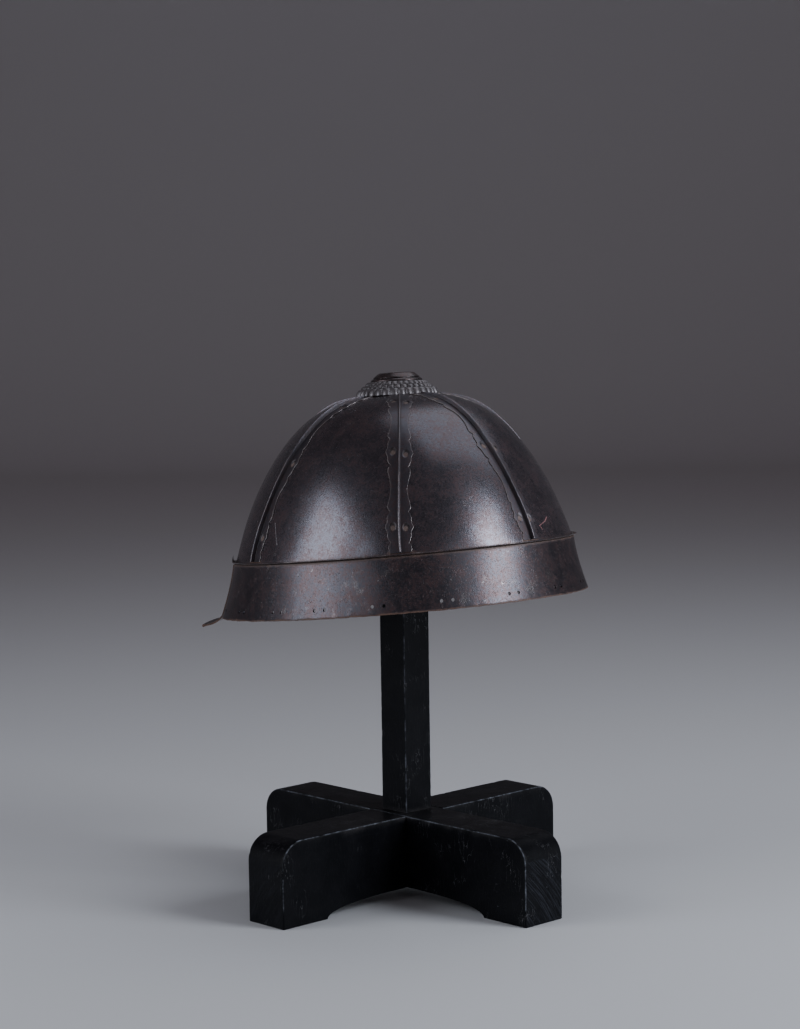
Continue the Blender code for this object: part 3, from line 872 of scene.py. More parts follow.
    def rivet_marks(
        self, name: str, distance: Array, across: Array, spread: Array, lift: Array
    ) -> tuple[Array, Array, Array]:
        """The oval dents of the rivets, worked out in distances over the rivet's half length and width.

        Args:
            name: The rib.
            distance: The sections' distances along the rib, shape (sections,).
            across: The points' distances across in the plain section.
            spread: Their distances beside the rib's line.
            lift: Their lifts in the plain section.
        Returns:
            The depths, less the low burr round each dent, 1 in a dent and 0 outside, and the shade in it.
        """
        along = self.from_rivet(name, distance[:, None], np.sign(across)) / self.rivet_half_length
        aside = (np.abs(spread) - self.rivet_across) / self.rivet_half_width
        from_middle = np.hypot(along, aside)
        on_top = (lift > self.underside + 0.6 * self.thickness) & (np.abs(across) > self.foot)
        dimple = smooth_step(1.0, 0.84, from_middle) * on_top
        burr = smooth_step(1.2, 1.05, from_middle) * smooth_step(0.95, 1.05, from_middle) * on_top
        depth = self.rivet_depth * dimple * (0.8 + 0.2 * smooth_step(-1.0, 1.0, along))
        shadow = smooth_step(0.70, 1.05, np.hypot(along + 0.42, aside + 0.1))
        shadow = shadow * smooth_step(1.12, 0.98, from_middle) * on_top
        return depth - self.burr_height * burr, dimple, shadow


@dataclass(frozen=True)
class Band:
    """The waist band: its offset from the seam's oval grows with a power of the drop below the seam."""

    dome: Dome = Dome()
    thickness: float = 0.0012
    height: float = 0.0349
    top_offset: float = 0.0016
    flare: float = 0.0086
    flare_power: float = 1.45
    lean_front: float = 0.0008
    lean_left: float = 0.0022
    lip_offset: float = 0.0034
    lip_thickness: float = 0.0006
    lip_rise: float = 0.0002
    curl_angle: float = math.radians(-111.0)
    curl_width: float = math.radians(5.0)
    curl_rise: float = 0.0042
    hole_radius: float = 0.0011
    hole_drop: float = 0.0295
    hole_spacing: float = math.radians(3.5)
    hole_degrees: tuple[float, ...] = (-103, -84, -65.2, -49.1, -30.7, -10, 12, 32, 52, 71, 90, 108)
    spacing: float = 0.00095
    wave_depth: float = 0.00018
    hammer_depth: float = 0.00004
    rag_depth: float = 0.00028
    ripple_depth: float = 0.00022
    uneven: Lumps = Lumps(5)

    def offset(self, drop: Array | float) -> Array | float:
        """The outer face's offset from the seam's oval at a drop below the seam."""
        return self.top_offset + self.flare * (np.maximum(drop, 0.0) / self.height) ** self.flare_power

    def place(self, angle: Array, offset: Array, height: Array) -> Array:
        """Points at an offset outside the seam's oval, leaning to the front left as they go down."""
        below = np.maximum(-height, 0.0) / self.height
        x = (self.dome.half_length + offset) * np.cos(angle) - self.lean_front * below
        y = (self.dome.half_width + offset) * np.sin(angle) - self.lean_left * below
        return np.stack(np.broadcast_arrays(x, y, height), axis=-1)

    def section(self) -> Array:
        """The band's closed section as (offset, height), clockwise from its inner top edge."""
        drops = spaced(0.0014, self.height - 0.0004, 0.0013)
        outer = np.stack((self.offset(drops), -drops), axis=1)
        foot, edge = self.offset(self.height), self.thickness / 2
        turn = np.radians((-25.0, -60.0, -90.0, -120.0, -155.0))
        sunk = edge * 0.7 * (1 + np.sin(turn)) - self.height
        hem = np.stack((foot - edge + edge * np.cos(turn), sunk), axis=1)
        lip = rounded_outline(
            (
                (self.top_offset - self.thickness, 0.0, 0.0002),
                (self.lip_offset, 0.0, 0.00028),
                (self.lip_offset, -self.lip_thickness, 0.00026),
                (self.top_offset, -self.lip_thickness - 0.0001, 0.0002),
                (self.top_offset, -0.0013, 0.00002),
                (self.top_offset - self.thickness, -0.0013, 0.00002),
            ),
            0.0005,
        )
        top = lip[lip[:, 1] > -0.00125]
        inner = outer[::-1] - (self.thickness, 0.0)
        return np.concatenate((top, outer, hem, inner))

    def build(self, matrix: Matrix, finish: Material) -> None:
        """Sweeps the section round the oval, curls the lip up at the left, and punches the holes.

        The curl is a bell curve of the angle, exp(-(turn from its middle / its width) ** 2).
        """
        section = self.section()
        angle = spaced(0.0, 2 * math.pi, self.spacing / self.dome.half_length)[:-1, None]
        offset, height = section[None, :, 0], section[None, :, 1]
        flat = self.place(angle, offset, height)
        wobble = self.wave_depth * self.uneven.at(flat, 0.026)
        wobble += self.hammer_depth * self.uneven.at(flat, 0.007)
        rag = self.uneven.at(flat * (1, 1, 0), 0.0036, 2) * self.rag_depth
        # The way down the band from 0 to 1, and the way out along the lip
        share = np.clip(-height / self.height, 0.0, 1.0)
        out = np.clip((offset - self.top_offset) / (self.lip_offset - self.top_offset), 0.0, 1.0)
        out = out * (height > -0.0012)
        nearness = np.angle(np.exp(1j * (angle - self.curl_angle))) / self.curl_width
        curl = self.lip_rise + self.curl_rise * np.exp(-(nearness**2))
        seam = self.place(angle, 0 * offset, 0 * height)
        ripple = self.uneven.at(seam, 0.012, 2) * self.ripple_depth
        raised = height + out**1.6 * (curl + ripple) + rag * share**6
        drawn_in = out**2 * (curl - self.lip_rise) * 0.35
        points = self.place(angle, offset + wobble - drawn_in, raised)
        # Rust under the lip and along the hem, bare metal on the lip, and painted shade in a band just
        # under the lip
        at_lip = smooth_step(0.55, 1.0, out)
        at_hem = smooth_step(0.0014, 0.0002, self.height + height)
        outside = offset > self.top_offset - 0.0003
        under_lip = smooth_step(-0.0045, -0.0012, height) * (out < 0.5) * outside
        blots = np.clip(self.uneven.at(flat, 0.009, 3) + 0.2, 0.0, 1.0)
        layers = {
            "rust": 0.75 * at_hem + 0.75 * under_lip + 0.45 * at_lip + 0.5 * blots * share**3,
            "wear": (0.25 + 0.5 * blots) * at_lip + 0.5 * at_hem * blots,
            "shade": 0.55 * smooth_step(-0.0026, -0.0014, height) * (out < 0.5),
        }
        mesh = swept_mesh("waist_band_iron", carried(points, matrix), True, Cap.NONE, layers)
        mesh = cut_mesh(mesh, self.punches(matrix))
        finished_piece("waist_band_iron", mesh, finish, ["waist_band"])

    def punches(self, matrix: Matrix) -> bpy.types.Mesh:
        """A short round bar through the band at each lacing hole, along the seam oval's normal."""
        bm = bmesh.new()
        for degrees, side in itertools.product(self.hole_degrees, (-1, 1)):
            angle = math.radians(degrees) + side * self.hole_spacing / 2
            outside = self.place(np.array(angle), self.offset(self.hole_drop), np.array(-self.hole_drop))
            along, across = math.cos(angle) / self.dome.half_length, math.sin(angle) / self.dome.half_width
            turn = Vector((along, across, 0)).to_track_quat("Z", "X").to_matrix().to_4x4()
            bmesh.ops.create_cone(
                bm,
                cap_ends=True,
                segments=18,
                radius1=self.hole_radius,
                radius2=self.hole_radius,
                depth=0.008,
                matrix=matrix @ Matrix.Translation(Vector(outside)) @ turn,
            )
        return released(bm, "punches")


@dataclass(frozen=True)
class Bowl:
    """Six forged plates and the rib strips over their joints."""

    dome: Dome = Dome()
    ribs: Ribs = Ribs()
    plate_thickness: float = 0.0016
    tuck: float = 0.006
    top_climb: float = math.radians(87)
    spacing: float = 0.0017
    strip_spacing: float = 0.00060
    # A reddish hooked scratch beside the rear right rib, and a pale one beside the side left rib, as
    # (angle, climb) in degrees at each corner
    hook: tuple[tuple[float, float], ...] = ((37.1, 18.8), (34.8, 16.6), (30.6, 14.5), (31.6, 11.7))
    hook_colour: Colour = (0.34, 0.15, 0.15)
    streak: tuple[tuple[float, float], ...] = ((-74.5, 26.9), (-70.6, 16.6))
    streak_colour: Colour = (0.34, 0.32, 0.33)

    def scratch_strokes(self, matrix: Matrix) -> tuple[Stroke, ...]:
        """The plates' scratches, as lines between places in the part's frame with their colour."""
        strokes: list[Stroke] = []
        for line, colour in ((self.hook, self.hook_colour), (self.streak, self.streak_colour)):
            angles, climbs = np.radians(line).T
            places = carried(self.dome.lifted(angles, climbs, 0.0), matrix).tolist()
            strokes.extend((tuple(a), tuple(b), colour) for a, b in zip(places, places[1:]))
        return tuple(strokes)

    def build(self, matrix: Matrix, plate_finish: Material, rib_finish: Material) -> None:
        """Makes every plate and every rib strip."""
        names = ("side_right", "front_right", "front", "front_left", "side_left", "rear")
        firsts = list(self.ribs.angles)
        for name, first, last in zip(names, firsts, firsts[1:] + firsts[:1]):
            self.build_plate(name, (first, last), matrix, plate_finish)
        for seed, (name, angle) in enumerate(self.ribs.angles.items()):
            self.build_strip(name, angle, seed, matrix, rib_finish)

    def plate_grid(self, angle: Array, climb: Array) -> Array:
        """A plate's sections, each going round its outer face and back along its inner face.

        Two rows below the seam tuck in behind the band.

        Args:
            angle: The points' angles, shape (rows, columns).
            climb: The rows' climbs, shape (rows, 1).
        Returns:
            Points, shape (rows + 2, 2 * columns, 3).
        """
        faces = []
        for lift in (0.0, -self.plate_thickness):
            x = (self.dome.half_length - GAP + lift) * np.cos(angle[0])
            y = (self.dome.half_width - GAP + lift) * np.sin(angle[0])
            foot = [np.stack((x, y, np.full_like(x, z)), -1) for z in (-self.tuck, -self.tuck / 2)]
            faces.append(np.concatenate((foot, self.dome.lifted(angle, climb, lift))))
        return np.concatenate((faces[0], faces[1][:, ::-1]), axis=1)

    def build_plate(self, name: str, between: tuple[str, str], matrix: Matrix, finish: Material) -> None:
        """A plate between two named ribs, in rows at even steps up its middle meridian."""
        first, last = between
        start, end = self.ribs.angles[first], self.ribs.angles[last]
        end += 2 * math.pi * (end < start)
        walked, climbs = self.dome.walk((start + end) / 2)
        top = float(np.interp(self.top_climb, climbs, walked))
        steps = spaced(0.0, top, self.spacing)
        climb = np.interp(steps, walked, climbs)[:, None]
        columns = round((end - start) * self.dome.half_length / self.spacing)
        share = np.linspace(0.0, 1.0, columns + 1)[None, :]
        radius = self.dome.radius(climb)
        start = start + (GAP / 2 + self.ribs.strayed(first, climb, radius)) / radius
        end = end - (GAP / 2 - self.ribs.strayed(last, climb, radius)) / radius
        grid = self.plate_grid(start + (end - start) * share, climb)
        # Rust beside the strips, at the seam and under the crown, on both faces
        to_rib = np.minimum(share, 1.0 - share) * (end - start) * radius
        by_strip = np.exp(-np.maximum(to_rib - 0.0062, 0.0) / 0.0012)
        by_seam = np.exp(-np.abs(steps[:, None] - 0.0005) / 0.0014)
        by_crown = np.exp(-np.maximum(top - 0.012 - steps[:, None], 0.0) / 0.004)
        rust = 0.45 * by_strip + 0.70 * by_seam + 0.35 * by_crown
        one_side = np.concatenate((np.ones((2, columns + 1)), rust))
        both_sides = np.concatenate((one_side, one_side[:, ::-1]), axis=1)
        layers = {"rust": both_sides, "wear": 0.0, "shade": 0.0}
        mesh = swept_mesh(f"plate_{name}_iron", carried(grid, matrix), False, Cap.ZIP, layers)
        finished_piece(f"plate_{name}_iron", mesh, finish, [f"plate_{name}"])

    def build_strip(self, name: str, angle: float, seed: int, matrix: Matrix, finish: Material) -> None:
        """A rib strip, swept up the dome along its rib.

        A point's angle is the rib's plus its distance across over the dome's radius, and its lift is along
        the dome's normal.
        """
        ribs = self.ribs
        section = ribs.section()
        walked, climbs = self.dome.walk(angle)
        distance = spaced(2 * GAP, walked[-1] - ribs.end_radius, self.strip_spacing)
        climb = np.interp(distance, walked, climbs)[:, None]
        across, lift = np.broadcast_arrays(section[None, :, 0], section[None, :, 1])
        spread = ribs.spread(name, seed, distance, across, lift)
        standing, height = ribs.risen(walked[-1] - ribs.flange_end_radius - distance[:, None], lift)
        sunk, dimple, shadow = ribs.rivet_marks(name, distance, across, spread, lift)
        radius = self.dome.radius(climb)
        spread_angle = (spread + ribs.strayed(name, climb, radius)) / radius
        points = self.dome.lifted(angle + spread_angle, climb, height - sunk)

        up = (lift - ribs.top) / ribs.flange_height
        at_edge = smooth_step(0.955, 0.99, ribs.outwards(across)) * (lift > ribs.underside + 0.0001)
        on_crest = np.clip(up - 0.72, 0.0, 0.28) / 0.28 * standing
        # Painted shade: on the standing rib's flanks, and in a thin line along its foot, where beside also
        # adds rust. The dimples' shadow is a painted shadow too.
        painted_flank_shade = (lift > ribs.top + 0.0002) * smooth_step(0.80, 0.55, up)
        beside = np.exp(-(((np.abs(spread) - ribs.foot) / 0.0005) ** 2)) * (lift < ribs.top + 0.0004)
        left = np.clip(-across / ribs.nominal_half_width, 0.0, 1.0)
        shades = ribs.uneven.at(points, 0.012, 2) * 0.5 + 0.5
        lit = dimple * (1 - shadow)
        layers = {
            "rust": (0.15 + 0.6 * left) * at_edge + 0.3 * beside + 0.7 * lit + 0.3 * shades,
            "wear": 1.10 * at_edge * (0.45 + shades) + 0.55 * on_crest + 0.50 * lit,
            "shade": 1.4 * shadow + 0.60 * beside + 0.6 * painted_flank_shade,
        }
        mesh = swept_mesh(f"rib_strip_{name}_iron", carried(points, matrix), False, Cap.FACE, layers)
        finished_piece(f"rib_strip_{name}_iron", mesh, finish, [f"rib_strip_{name}"])


@dataclass(frozen=True)
class Visor:
    """A flange on the band's front that turns out into a brim with a rolled rim.

    At a share s from 0 at the middle of the brow to 1 at either end, its reach and the height of its bend
    lie between their end and front values by cos(s * 90 degrees) squared.
    """

    band: Band = Band()
    half_span: float = math.radians(66)
    thickness: float = 0.0011
    thin: float = 0.0007
    top: float = -0.0022
    bend_front: float = -0.0180
    bend_end: float = -0.0335
    rim_level: float = -0.0400
    reach_front: float = 0.034
    reach_end: float = 0.0133
    rim_radius: float = 0.0012
    # The brim's cubic curve: how far out its second and third points lie, and how far down the last three
    curve_out: tuple[float, float] = (0.04, 0.42)
    curve_down: tuple[float, float, float] = (0.42, 0.88, 0.94)
    wave_depth: float = 0.00022
    hammer_depth: float = 0.00005
    spacing: float = 0.0013
    uneven: Lumps = Lumps(8)

    def underside(self, share: Array) -> Array:
        """The underside as (offset, height) for each share: down the band, then out along a cubic curve."""
        fullness = np.cos(share * math.pi / 2) ** 2
        reach = self.reach_end + (self.reach_front - self.reach_end) * fullness - self.rim_radius
        bend = self.bend_end + (self.bend_front - self.bend_end) * fullness
        drop = bend - self.rim_level
        t = np.linspace(0.0, 1.0, 14)[None, :-1]
        fall = self.top + (bend - self.top) * t
        flange = np.stack((self.band.offset(-fall) + GAP, fall), -1)
        root = self.band.offset(-bend) + GAP
        q = np.linspace(0.0, 1.0, 36)[None, :]
        second, third = 3 * (1 - q) ** 2 * q, 3 * (1 - q) * q**2
        out = second * self.curve_out[0] + third * self.curve_out[1] + q**3
        down = second * self.curve_down[0] + third * self.curve_down[1] + q**3 * self.curve_down[2]
        brim = np.stack((root + out * reach, bend - down * drop), -1)
        return np.concatenate((flange, brim), axis=1)

    def build(self, matrix: Matrix, finish: Material) -> None:
        """Sweeps the folded section from end to end: underside, rolled rim, then upper side back."""
        radius = self.band.dome.half_length + self.reach_front
        span = spaced(-1.0, 1.0, self.spacing / (self.half_span * radius))
        share = np.abs(span)[:, None]
        under = self.underside(share)
        step = np.gradient(under, axis=1)
        step /= np.linalg.norm(step, axis=-1, keepdims=True)
        # The flange is thin, and the brim gets its full thickness past the bend
        thickened = smooth_step(12.0, 20.0, np.arange(under.shape[1]))
        gauge = self.thin + (self.thickness - self.thin) * thickened
        over = under + gauge[None, :, None] * np.stack((-step[..., 1], step[..., 0]), -1)
        middle = (under[:, -1:] + over[:, -1:]) / 2
        turn = np.radians(np.linspace(-100, 100, 14))[None, :]
        tangent, outward = step[:, -1:], np.stack((-step[:, -1:, 1], step[:, -1:, 0]), -1)
        bead = 0.78 * self.rim_radius
        along, aside = bead * np.cos(turn)[..., None], bead * np.sin(turn)[..., None]
        rim = middle + 0.0006 * tangent + along * tangent + aside * outward
        section = np.concatenate((under, rim, over[:, ::-1]), axis=1)
        angle = (math.pi + self.half_span * span)[:, None]
        flat = self.band.place(angle, section[..., 0], section[..., 1])
        wobble = self.wave_depth * self.uneven.at(flat, 0.03)
        wobble += self.hammer_depth * self.uneven.at(flat, 0.008)
        # The part that lies against the band stays true to it
        free = smooth_step(0.0, 0.004, section[..., 0] - self.band.offset(-section[..., 1]) - 0.0012)
        points = self.band.place(angle, section[..., 0], section[..., 1] + wobble * free)
        place = np.arange(section.shape[1])[None, :]
        on_rim = smooth_step(10.0, 6.0, np.abs(place - under.shape[1] - 6.5))
        at_end = np.exp(-(1.0 - share) * self.half_span * self.band.dome.half_length / 0.0015)
        blots = np.clip(self.uneven.at(flat, 0.005, 3) + 0.35, 0.0, 1.0)
        top_edge = smooth_step(-0.0050, -0.0024, section[..., 1])
        layers = {
            "rust": 0.30 * on_rim + 0.7 * at_end + 0.5 * top_edge,
            "wear": (1.2 * on_rim + 0.5 * at_end) * blots,
            "shade": 0.0,
        }
        mesh = swept_mesh("visor_iron", carried(points, matrix), False, Cap.ZIP, layers)
        finished_piece("visor_iron", mesh, finish, ["visor"])


@dataclass(frozen=True)
class PetalRow:
    """One row of petals: a closed section turned about the crown's axis, drawn in between petals.

    Between petals the radius shrinks by depth * (1 - |cos(n * angle / 2)| ** sharpness), which leaves a
    narrow groove, and the free edge drops back by the tip's length in the same measure.
    """

    name: str
    outer: float
    top_outer: float
    foot: float
    top: float
    bore: float
    depth: float
    turn: float = 0.0
    tip: float = 0.0004
    count: int = 32
    sharpness: float = 0.6


@dataclass(frozen=True)
class Crown:
    """The crown fitting: rows of petals, a plain collar, and a rim round the crown hole."""

    dome: Dome = Dome()
    bore: float = 0.0102
    seat: float = 0.0006
    collar_radius: float = 0.0158
    collar_foot: float = 0.0083
    collar_top: float = 0.0100
    rim_foot_radius: float = 0.0150
    rim_top_radius: float = 0.0106
    rim_top: float = 0.0136
    rim_bore: float = 0.0088
    stem_radius: float = 0.0099
    stem_foot: float = -0.0015
    steps_a_petal: int = 15
    steps_round: int = 144
    rag_depth: float = 0.00030
    groove_depth: float = 0.0003
    wave_depth: float = 0.00012
    uneven: Lumps = Lumps(21)

    def rows(self) -> tuple[PetalRow, ...]:
        """The rows, from the lowest up. The middle row lies half a petal round from the others."""
        half, bore = math.pi / PetalRow.count, self.bore
        return (
            PetalRow("crown_lower_petals_iron", 0.0265, 0.0238, 0.0, 0.0037, bore, 0.0010),
            PetalRow("crown_middle_petals_iron", 0.0228, 0.0208, 0.0038, 0.0059, 0.0120, 0.0009, half),
            PetalRow("crown_upper_petals_iron", 0.0200, 0.0176, 0.0060, 0.0082, bore, 0.0008),
        )

    def matrix(self, helmet: Matrix) -> Matrix:
        """The crown's frame: at the dome's pole, tilted as the dome's top is."""
        pole = self.dome.point(np.array(0.0), np.array(math.pi / 2))
        up = Vector((self.dome.fall_rear, self.dome.fall_right, 1.0)).normalized()
        return helmet @ Matrix.Translation(Vector(pole)) @ up.to_track_quat("Z", "Y").to_matrix().to_4x4()

    def build(self, helmet: Matrix, petal_finish: Material, finish: Material) -> None:
        """Makes the petal rows, the collar and the rim."""
        matrix = self.matrix(helmet)
        nodes = (["crown_lower_petals"], [], ["crown_upper_petals"])
        for row, replaced in zip(self.rows(), nodes):
            self.build_row(row, replaced, matrix, petal_finish)
        self.build_turned(
            "crown_collar_iron",
            (
                (self.bore, self.collar_foot, 0.0001),
                (self.collar_radius + 0.0008, self.collar_foot, 0.0003),
                (self.collar_radius + 0.0005, self.collar_foot + 0.0009, 0.0008),
                (self.rim_foot_radius, self.collar_top, 0.0003),
                (self.bore, self.collar_top, 0.0001),
            ),
            ["crown_collar"],
            matrix,
            finish,
        )
        self.build_turned(
            "crown_rim_iron",
            (
                (self.rim_bore, self.stem_foot, 0.0002),
                (self.stem_radius, self.stem_foot, 0.0002),
                (self.stem_radius, self.collar_top + GAP, 0.0001),
                (self.rim_foot_radius, self.collar_top + GAP, 0.0002),
                (self.rim_foot_radius - 0.0008, self.collar_top + 0.0012, 0.0009),
                (self.rim_top_radius + 0.0006, self.rim_top, 0.0030),
                (self.rim_bore, self.rim_top, 0.0009),
            ),
            ["crown_rim"],
            matrix,
            finish,
        )

    def build_row(self, row: PetalRow, nodes: list[str], matrix: Matrix, finish: Material) -> None:
        """A row of petals, whose underside follows the dome where it rests on it."""
        lowest = row.foot == 0.0
        reach = spaced(row.bore, row.outer, 0.0009)
        floor = self.seat - self.dome.fall(reach) if lowest else np.full_like(reach, row.foot)
        t = np.linspace(0.0, 1.0, 16)[1:]
        edge = floor[-1] + 0.0005
        slope_r = row.outer - (row.outer - row.top_outer) * (0.72 * t**1.3 + 0.28 * t**7)
        slope_z = edge + (row.top - edge) * (1 - (1 - t) ** 1.2)
        flat = spaced(row.top_outer, row.bore, 0.0012)[1:]
        # Under the row to its edge, up the petals' slope, and over the flat top back to the bore
        level = np.full_like(flat, row.top)
        radius = np.concatenate((reach, [row.outer + 0.0001], slope_r, flat))[None, :]
        height = np.concatenate((floor, [floor[-1] + 0.0003], slope_z, level))[None, :]
        angle = np.linspace(0.0, 2 * math.pi, row.count * self.steps_a_petal, endpoint=False)[:, None]
        phase = row.count * (angle + row.turn) / 2
        hollow = 1.0 - np.abs(np.cos(phase)) ** row.sharpness
        out = smooth_step(row.top_outer - 0.0012, row.outer - 0.001, radius)
        circle = np.concatenate((np.cos(angle), np.sin(angle), 0 * angle), 1) * row.outer
        ragged = self.rag_depth * self.uneven.at(circle, 0.0021, 2)[:, None]
        pulled = radius - row.depth * hollow * np.maximum(out, 0.55 * (radius > row.top_outer - 0.0004))
        pulled = pulled - row.tip * hollow**2 * out + ragged * out
        on_slope = smooth_step(row.top_outer - 0.001, row.top_outer + 0.0008, radius)
        sunk = height - self.groove_depth * hollow * on_slope
        rest = np.arange(radius.shape[1])[None, :] < len(reach)
        sunk = np.where(rest, height, np.maximum(sunk, height[0, len(reach) - 1]))
        points = np.stack((pulled * np.cos(angle), pulled * np.sin(angle), sunk), -1)
        worn = np.clip(0.8 - 2.4 * hollow, 0.0, 1.0)
        patches = self.uneven.at(points, 0.006, 2) * 0.5 + 0.5
        # The shade value paints shade into the grooves between the petals
        layers = {
            "rust": 0.25 * (1 - out) + 0.35 * patches * out,
            "wear": worn * out * (0.2 + 0.6 * patches),
            "shade": 0.8 * hollow**2 * smooth_step(row.top_outer - 0.0015, row.outer, radius),
        }
        mesh = swept_mesh(row.name, carried(points, matrix), True, Cap.NONE, layers)
        finished_piece(row.name, mesh, finish, nodes)

    def build_turned(
        self,
        name: str,
        corners: Sequence[Place],
        nodes: list[str],
        matrix: Matrix,
        finish: Material,
    ) -> None:
        """A ring whose rounded section of (radius, height) turns about the crown's axis."""
        section = rounded_outline(corners, 0.0006)
        angle = np.linspace(0.0, 2 * math.pi, self.steps_round, endpoint=False)[:, None]
        radius, height = section[None, :, 0], section[None, :, 1]
        points = np.stack((radius * np.cos(angle), radius * np.sin(angle), height + 0 * angle), -1)
        points[..., 2] += self.wave_depth * self.uneven.at(points, 0.007)
        # Wear along the ring's top, and painted shade over the rest of it
        high = smooth_step(height.max() - 0.0009, height.max() - 0.0002, height)
        layers = {"rust": 0.15, "wear": 0.35 * high, "shade": 0.25 * (1 - high)}
        mesh = swept_mesh(name, carried(points, matrix), True, Cap.NONE, layers)
        finished_piece(name, mesh, finish, nodes)


@dataclass(frozen=True)
class Stand:
    """Two half-lapped beams with rounded ends, and the post on their crossing."""

    dome: Dome = Dome()
    length: float = 0.241
    width: float = 0.0326
    height: float = 0.0537
    end_radius: float = 0.0155
    foot_radius: float = 0.0007
    pad: float = 0.0365
    arch: float = 0.0075
    arch_power: float = 4.0
    arris: float = 0.0009
    post_side: float = 0.0224
    post_arris: float = 0.0009
    post_clearance: float = 0.0024
    beam_nick_depth: float = 0.0009
    beam_wave_depth: float = 0.00008
    post_nick_depth: float = 0.0006
    post_wave_depth: float = 0.00006
    post_top_guess: float = 0.3165
    spacing: float = 0.0011
    uneven: Lumps = Lumps(30)

    def outline(self, inset: float) -> Array:
        """A beam's side as (along, height), clockwise: top, round end, foot pad, arch, and back.

        Args:
            inset: How far the outline is drawn in. Each inset gives the same number of points.
        Returns:
            Points, shape (n, 2).
        """
        half, high = self.length / 2, self.height
        big = self.end_radius - inset
        small = max(self.foot_radius - inset, 0.00003)
        flat = half - self.end_radius
        top = np.linspace(0.0, flat, round(flat / self.spacing))
        turn = np.linspace(0.0, math.pi / 2, 28)[1:]
        rise = high - self.end_radius
        side = np.linspace(rise, inset + small, round(rise / self.spacing))[1:]
        heel = np.linspace(0.0, math.pi / 2, 5)[1:]
        reach = half - self.pad + inset
        sole = np.linspace(half - inset - small, reach, round(self.pad / self.spacing))[1:-1]
        share = np.cos(np.linspace(0.0, math.pi / 2, 90))
        runs = (
            (top, np.full_like(top, high - inset)),
            (flat + big * np.sin(turn), rise + big * np.cos(turn)),
            (np.full_like(side, half - inset), side),
            (half - inset - small * (1 - np.cos(heel)), inset + small * (1 - np.sin(heel))),
            (sole, np.full_like(sole, inset)),
            (reach * share, inset + self.arch * np.sqrt(1 - share**self.arch_power)),
        )
        right = np.concatenate([np.stack(run, 1) for run in runs])
        left = right[-2:0:-1] * (-1.0, 1.0)
        return np.concatenate((right, left))

    def profile(self) -> tuple[Array, Array]:
        """A beam's outlines from one side face to the other, round both arrises.

        Returns:
            How far each outline is drawn in, and its place across the beam.
        """
        arc = np.linspace(0.0, math.pi / 2, 5)
        edge_in = self.arris * (1 - np.sin(arc))
        edge_at = self.width / 2 - self.arris * (1 - np.cos(arc))
        flat = spaced(self.width / 2 - self.arris, 0.0, 0.0016)[1:]
        face_in = np.array((0.0045, 0.0028, 0.0016))
        draw = np.concatenate((face_in, edge_in, np.zeros_like(flat)))
        across = np.concatenate((np.full_like(face_in, self.width / 2), edge_at, flat))
        return np.concatenate((draw, draw[-2::-1])), np.concatenate((-across, across[-2::-1]))

    def build_beam(self, name: str, turned: bool, centre: Vector, finish: Material) -> None:
        """A beam: its outline carried across its width, drawn in along both arrises, and lapped."""
        draw, across = self.profile()
        rings = np.array([self.outline(inset) for inset in draw])
        middle = np.broadcast_to(across[:, None], rings.shape[:2])
        points = np.stack((rings[..., 0], middle, rings[..., 1]), -1)
        # Nicks take the arrises in and down, though not near the floor
        to_arris = np.abs(np.abs(across) - self.width / 2) + draw
        near = np.exp(-((to_arris / (1.15 * self.arris)) ** 2))[:, None]
        high = smooth_step(0.004, 0.014, points[..., 2])
        nick = np.clip(self.uneven.at(points + 3.0 * len(name), 0.0042, 2) - 0.24, 0.0, 1.0)
        nick = nick * self.beam_nick_depth
        level = smooth_step(self.height - 0.004, self.height - 0.0006, points[..., 2])
        end = self.length / 2
        at_end = smooth_step(end - 0.0004, end - 0.0001, np.abs(points[..., 0]))
        at_end = at_end * (points[..., 2] < self.height - self.end_radius + 0.002)
        inward = np.sign(across)[:, None, None] * np.array((0.0, -1.0, 0.0))
        points = points + inward * (nick * near * high)[..., None]
        points[..., 2] -= nick * near * level
        # Dust lies on the top, thickest round the post
        plan = points * (1, 1, 0)
        to_post = np.max(np.abs(plan), axis=-1) - self.post_side / 2
        swept = np.exp(-np.maximum(to_post, 0.0) / 0.006)
        points[..., 2] += self.beam_wave_depth * self.uneven.at(points, 0.030) * level
        layers = {
            "edge": near * (0.35 + 0.65 * high),
            "dust": level * (0.45 + 0.45 * self.uneven.at(plan, 0.02, 2) + 0.9 * swept),
            "sawn": at_end * (1.0 - near),
        }
        place = Matrix.Translation(centre) @ Matrix.Rotation(math.pi / 2 if turned else 0.0, 4, "Z")
        mesh = swept_mesh(f"{name}_painted", carried(points, place), False, Cap.FACE, layers)
        mesh = cut_mesh(mesh, self.lap_cutter(turned, place))
        finished_piece(f"{name}_painted", mesh, finish, [name], 30.0)

    def lap_cutter(self, turned: bool, place: Matrix) -> bpy.types.Mesh:
        """The block that a beam's half of the lap is cut with: its lower half where the beam is turned."""
        lap = (self.arch + self.height) / 2
        low, high = (-0.02, lap + GAP / 2) if turned else (lap - GAP / 2, self.height + 0.02)
        size = Vector((self.width + 2 * GAP, self.width * 2, high - low))
        bm = bmesh.new()
        bmesh.ops.create_cube(bm, size=1.0)
        bmesh.ops.scale(bm, vec=size, verts=bm.verts)
        bmesh.ops.translate(bm, vec=(0, 0, (high + low) / 2), verts=bm.verts)
        bmesh.ops.transform(bm, matrix=place, verts=bm.verts)
        return released(bm, "lap_cutter")

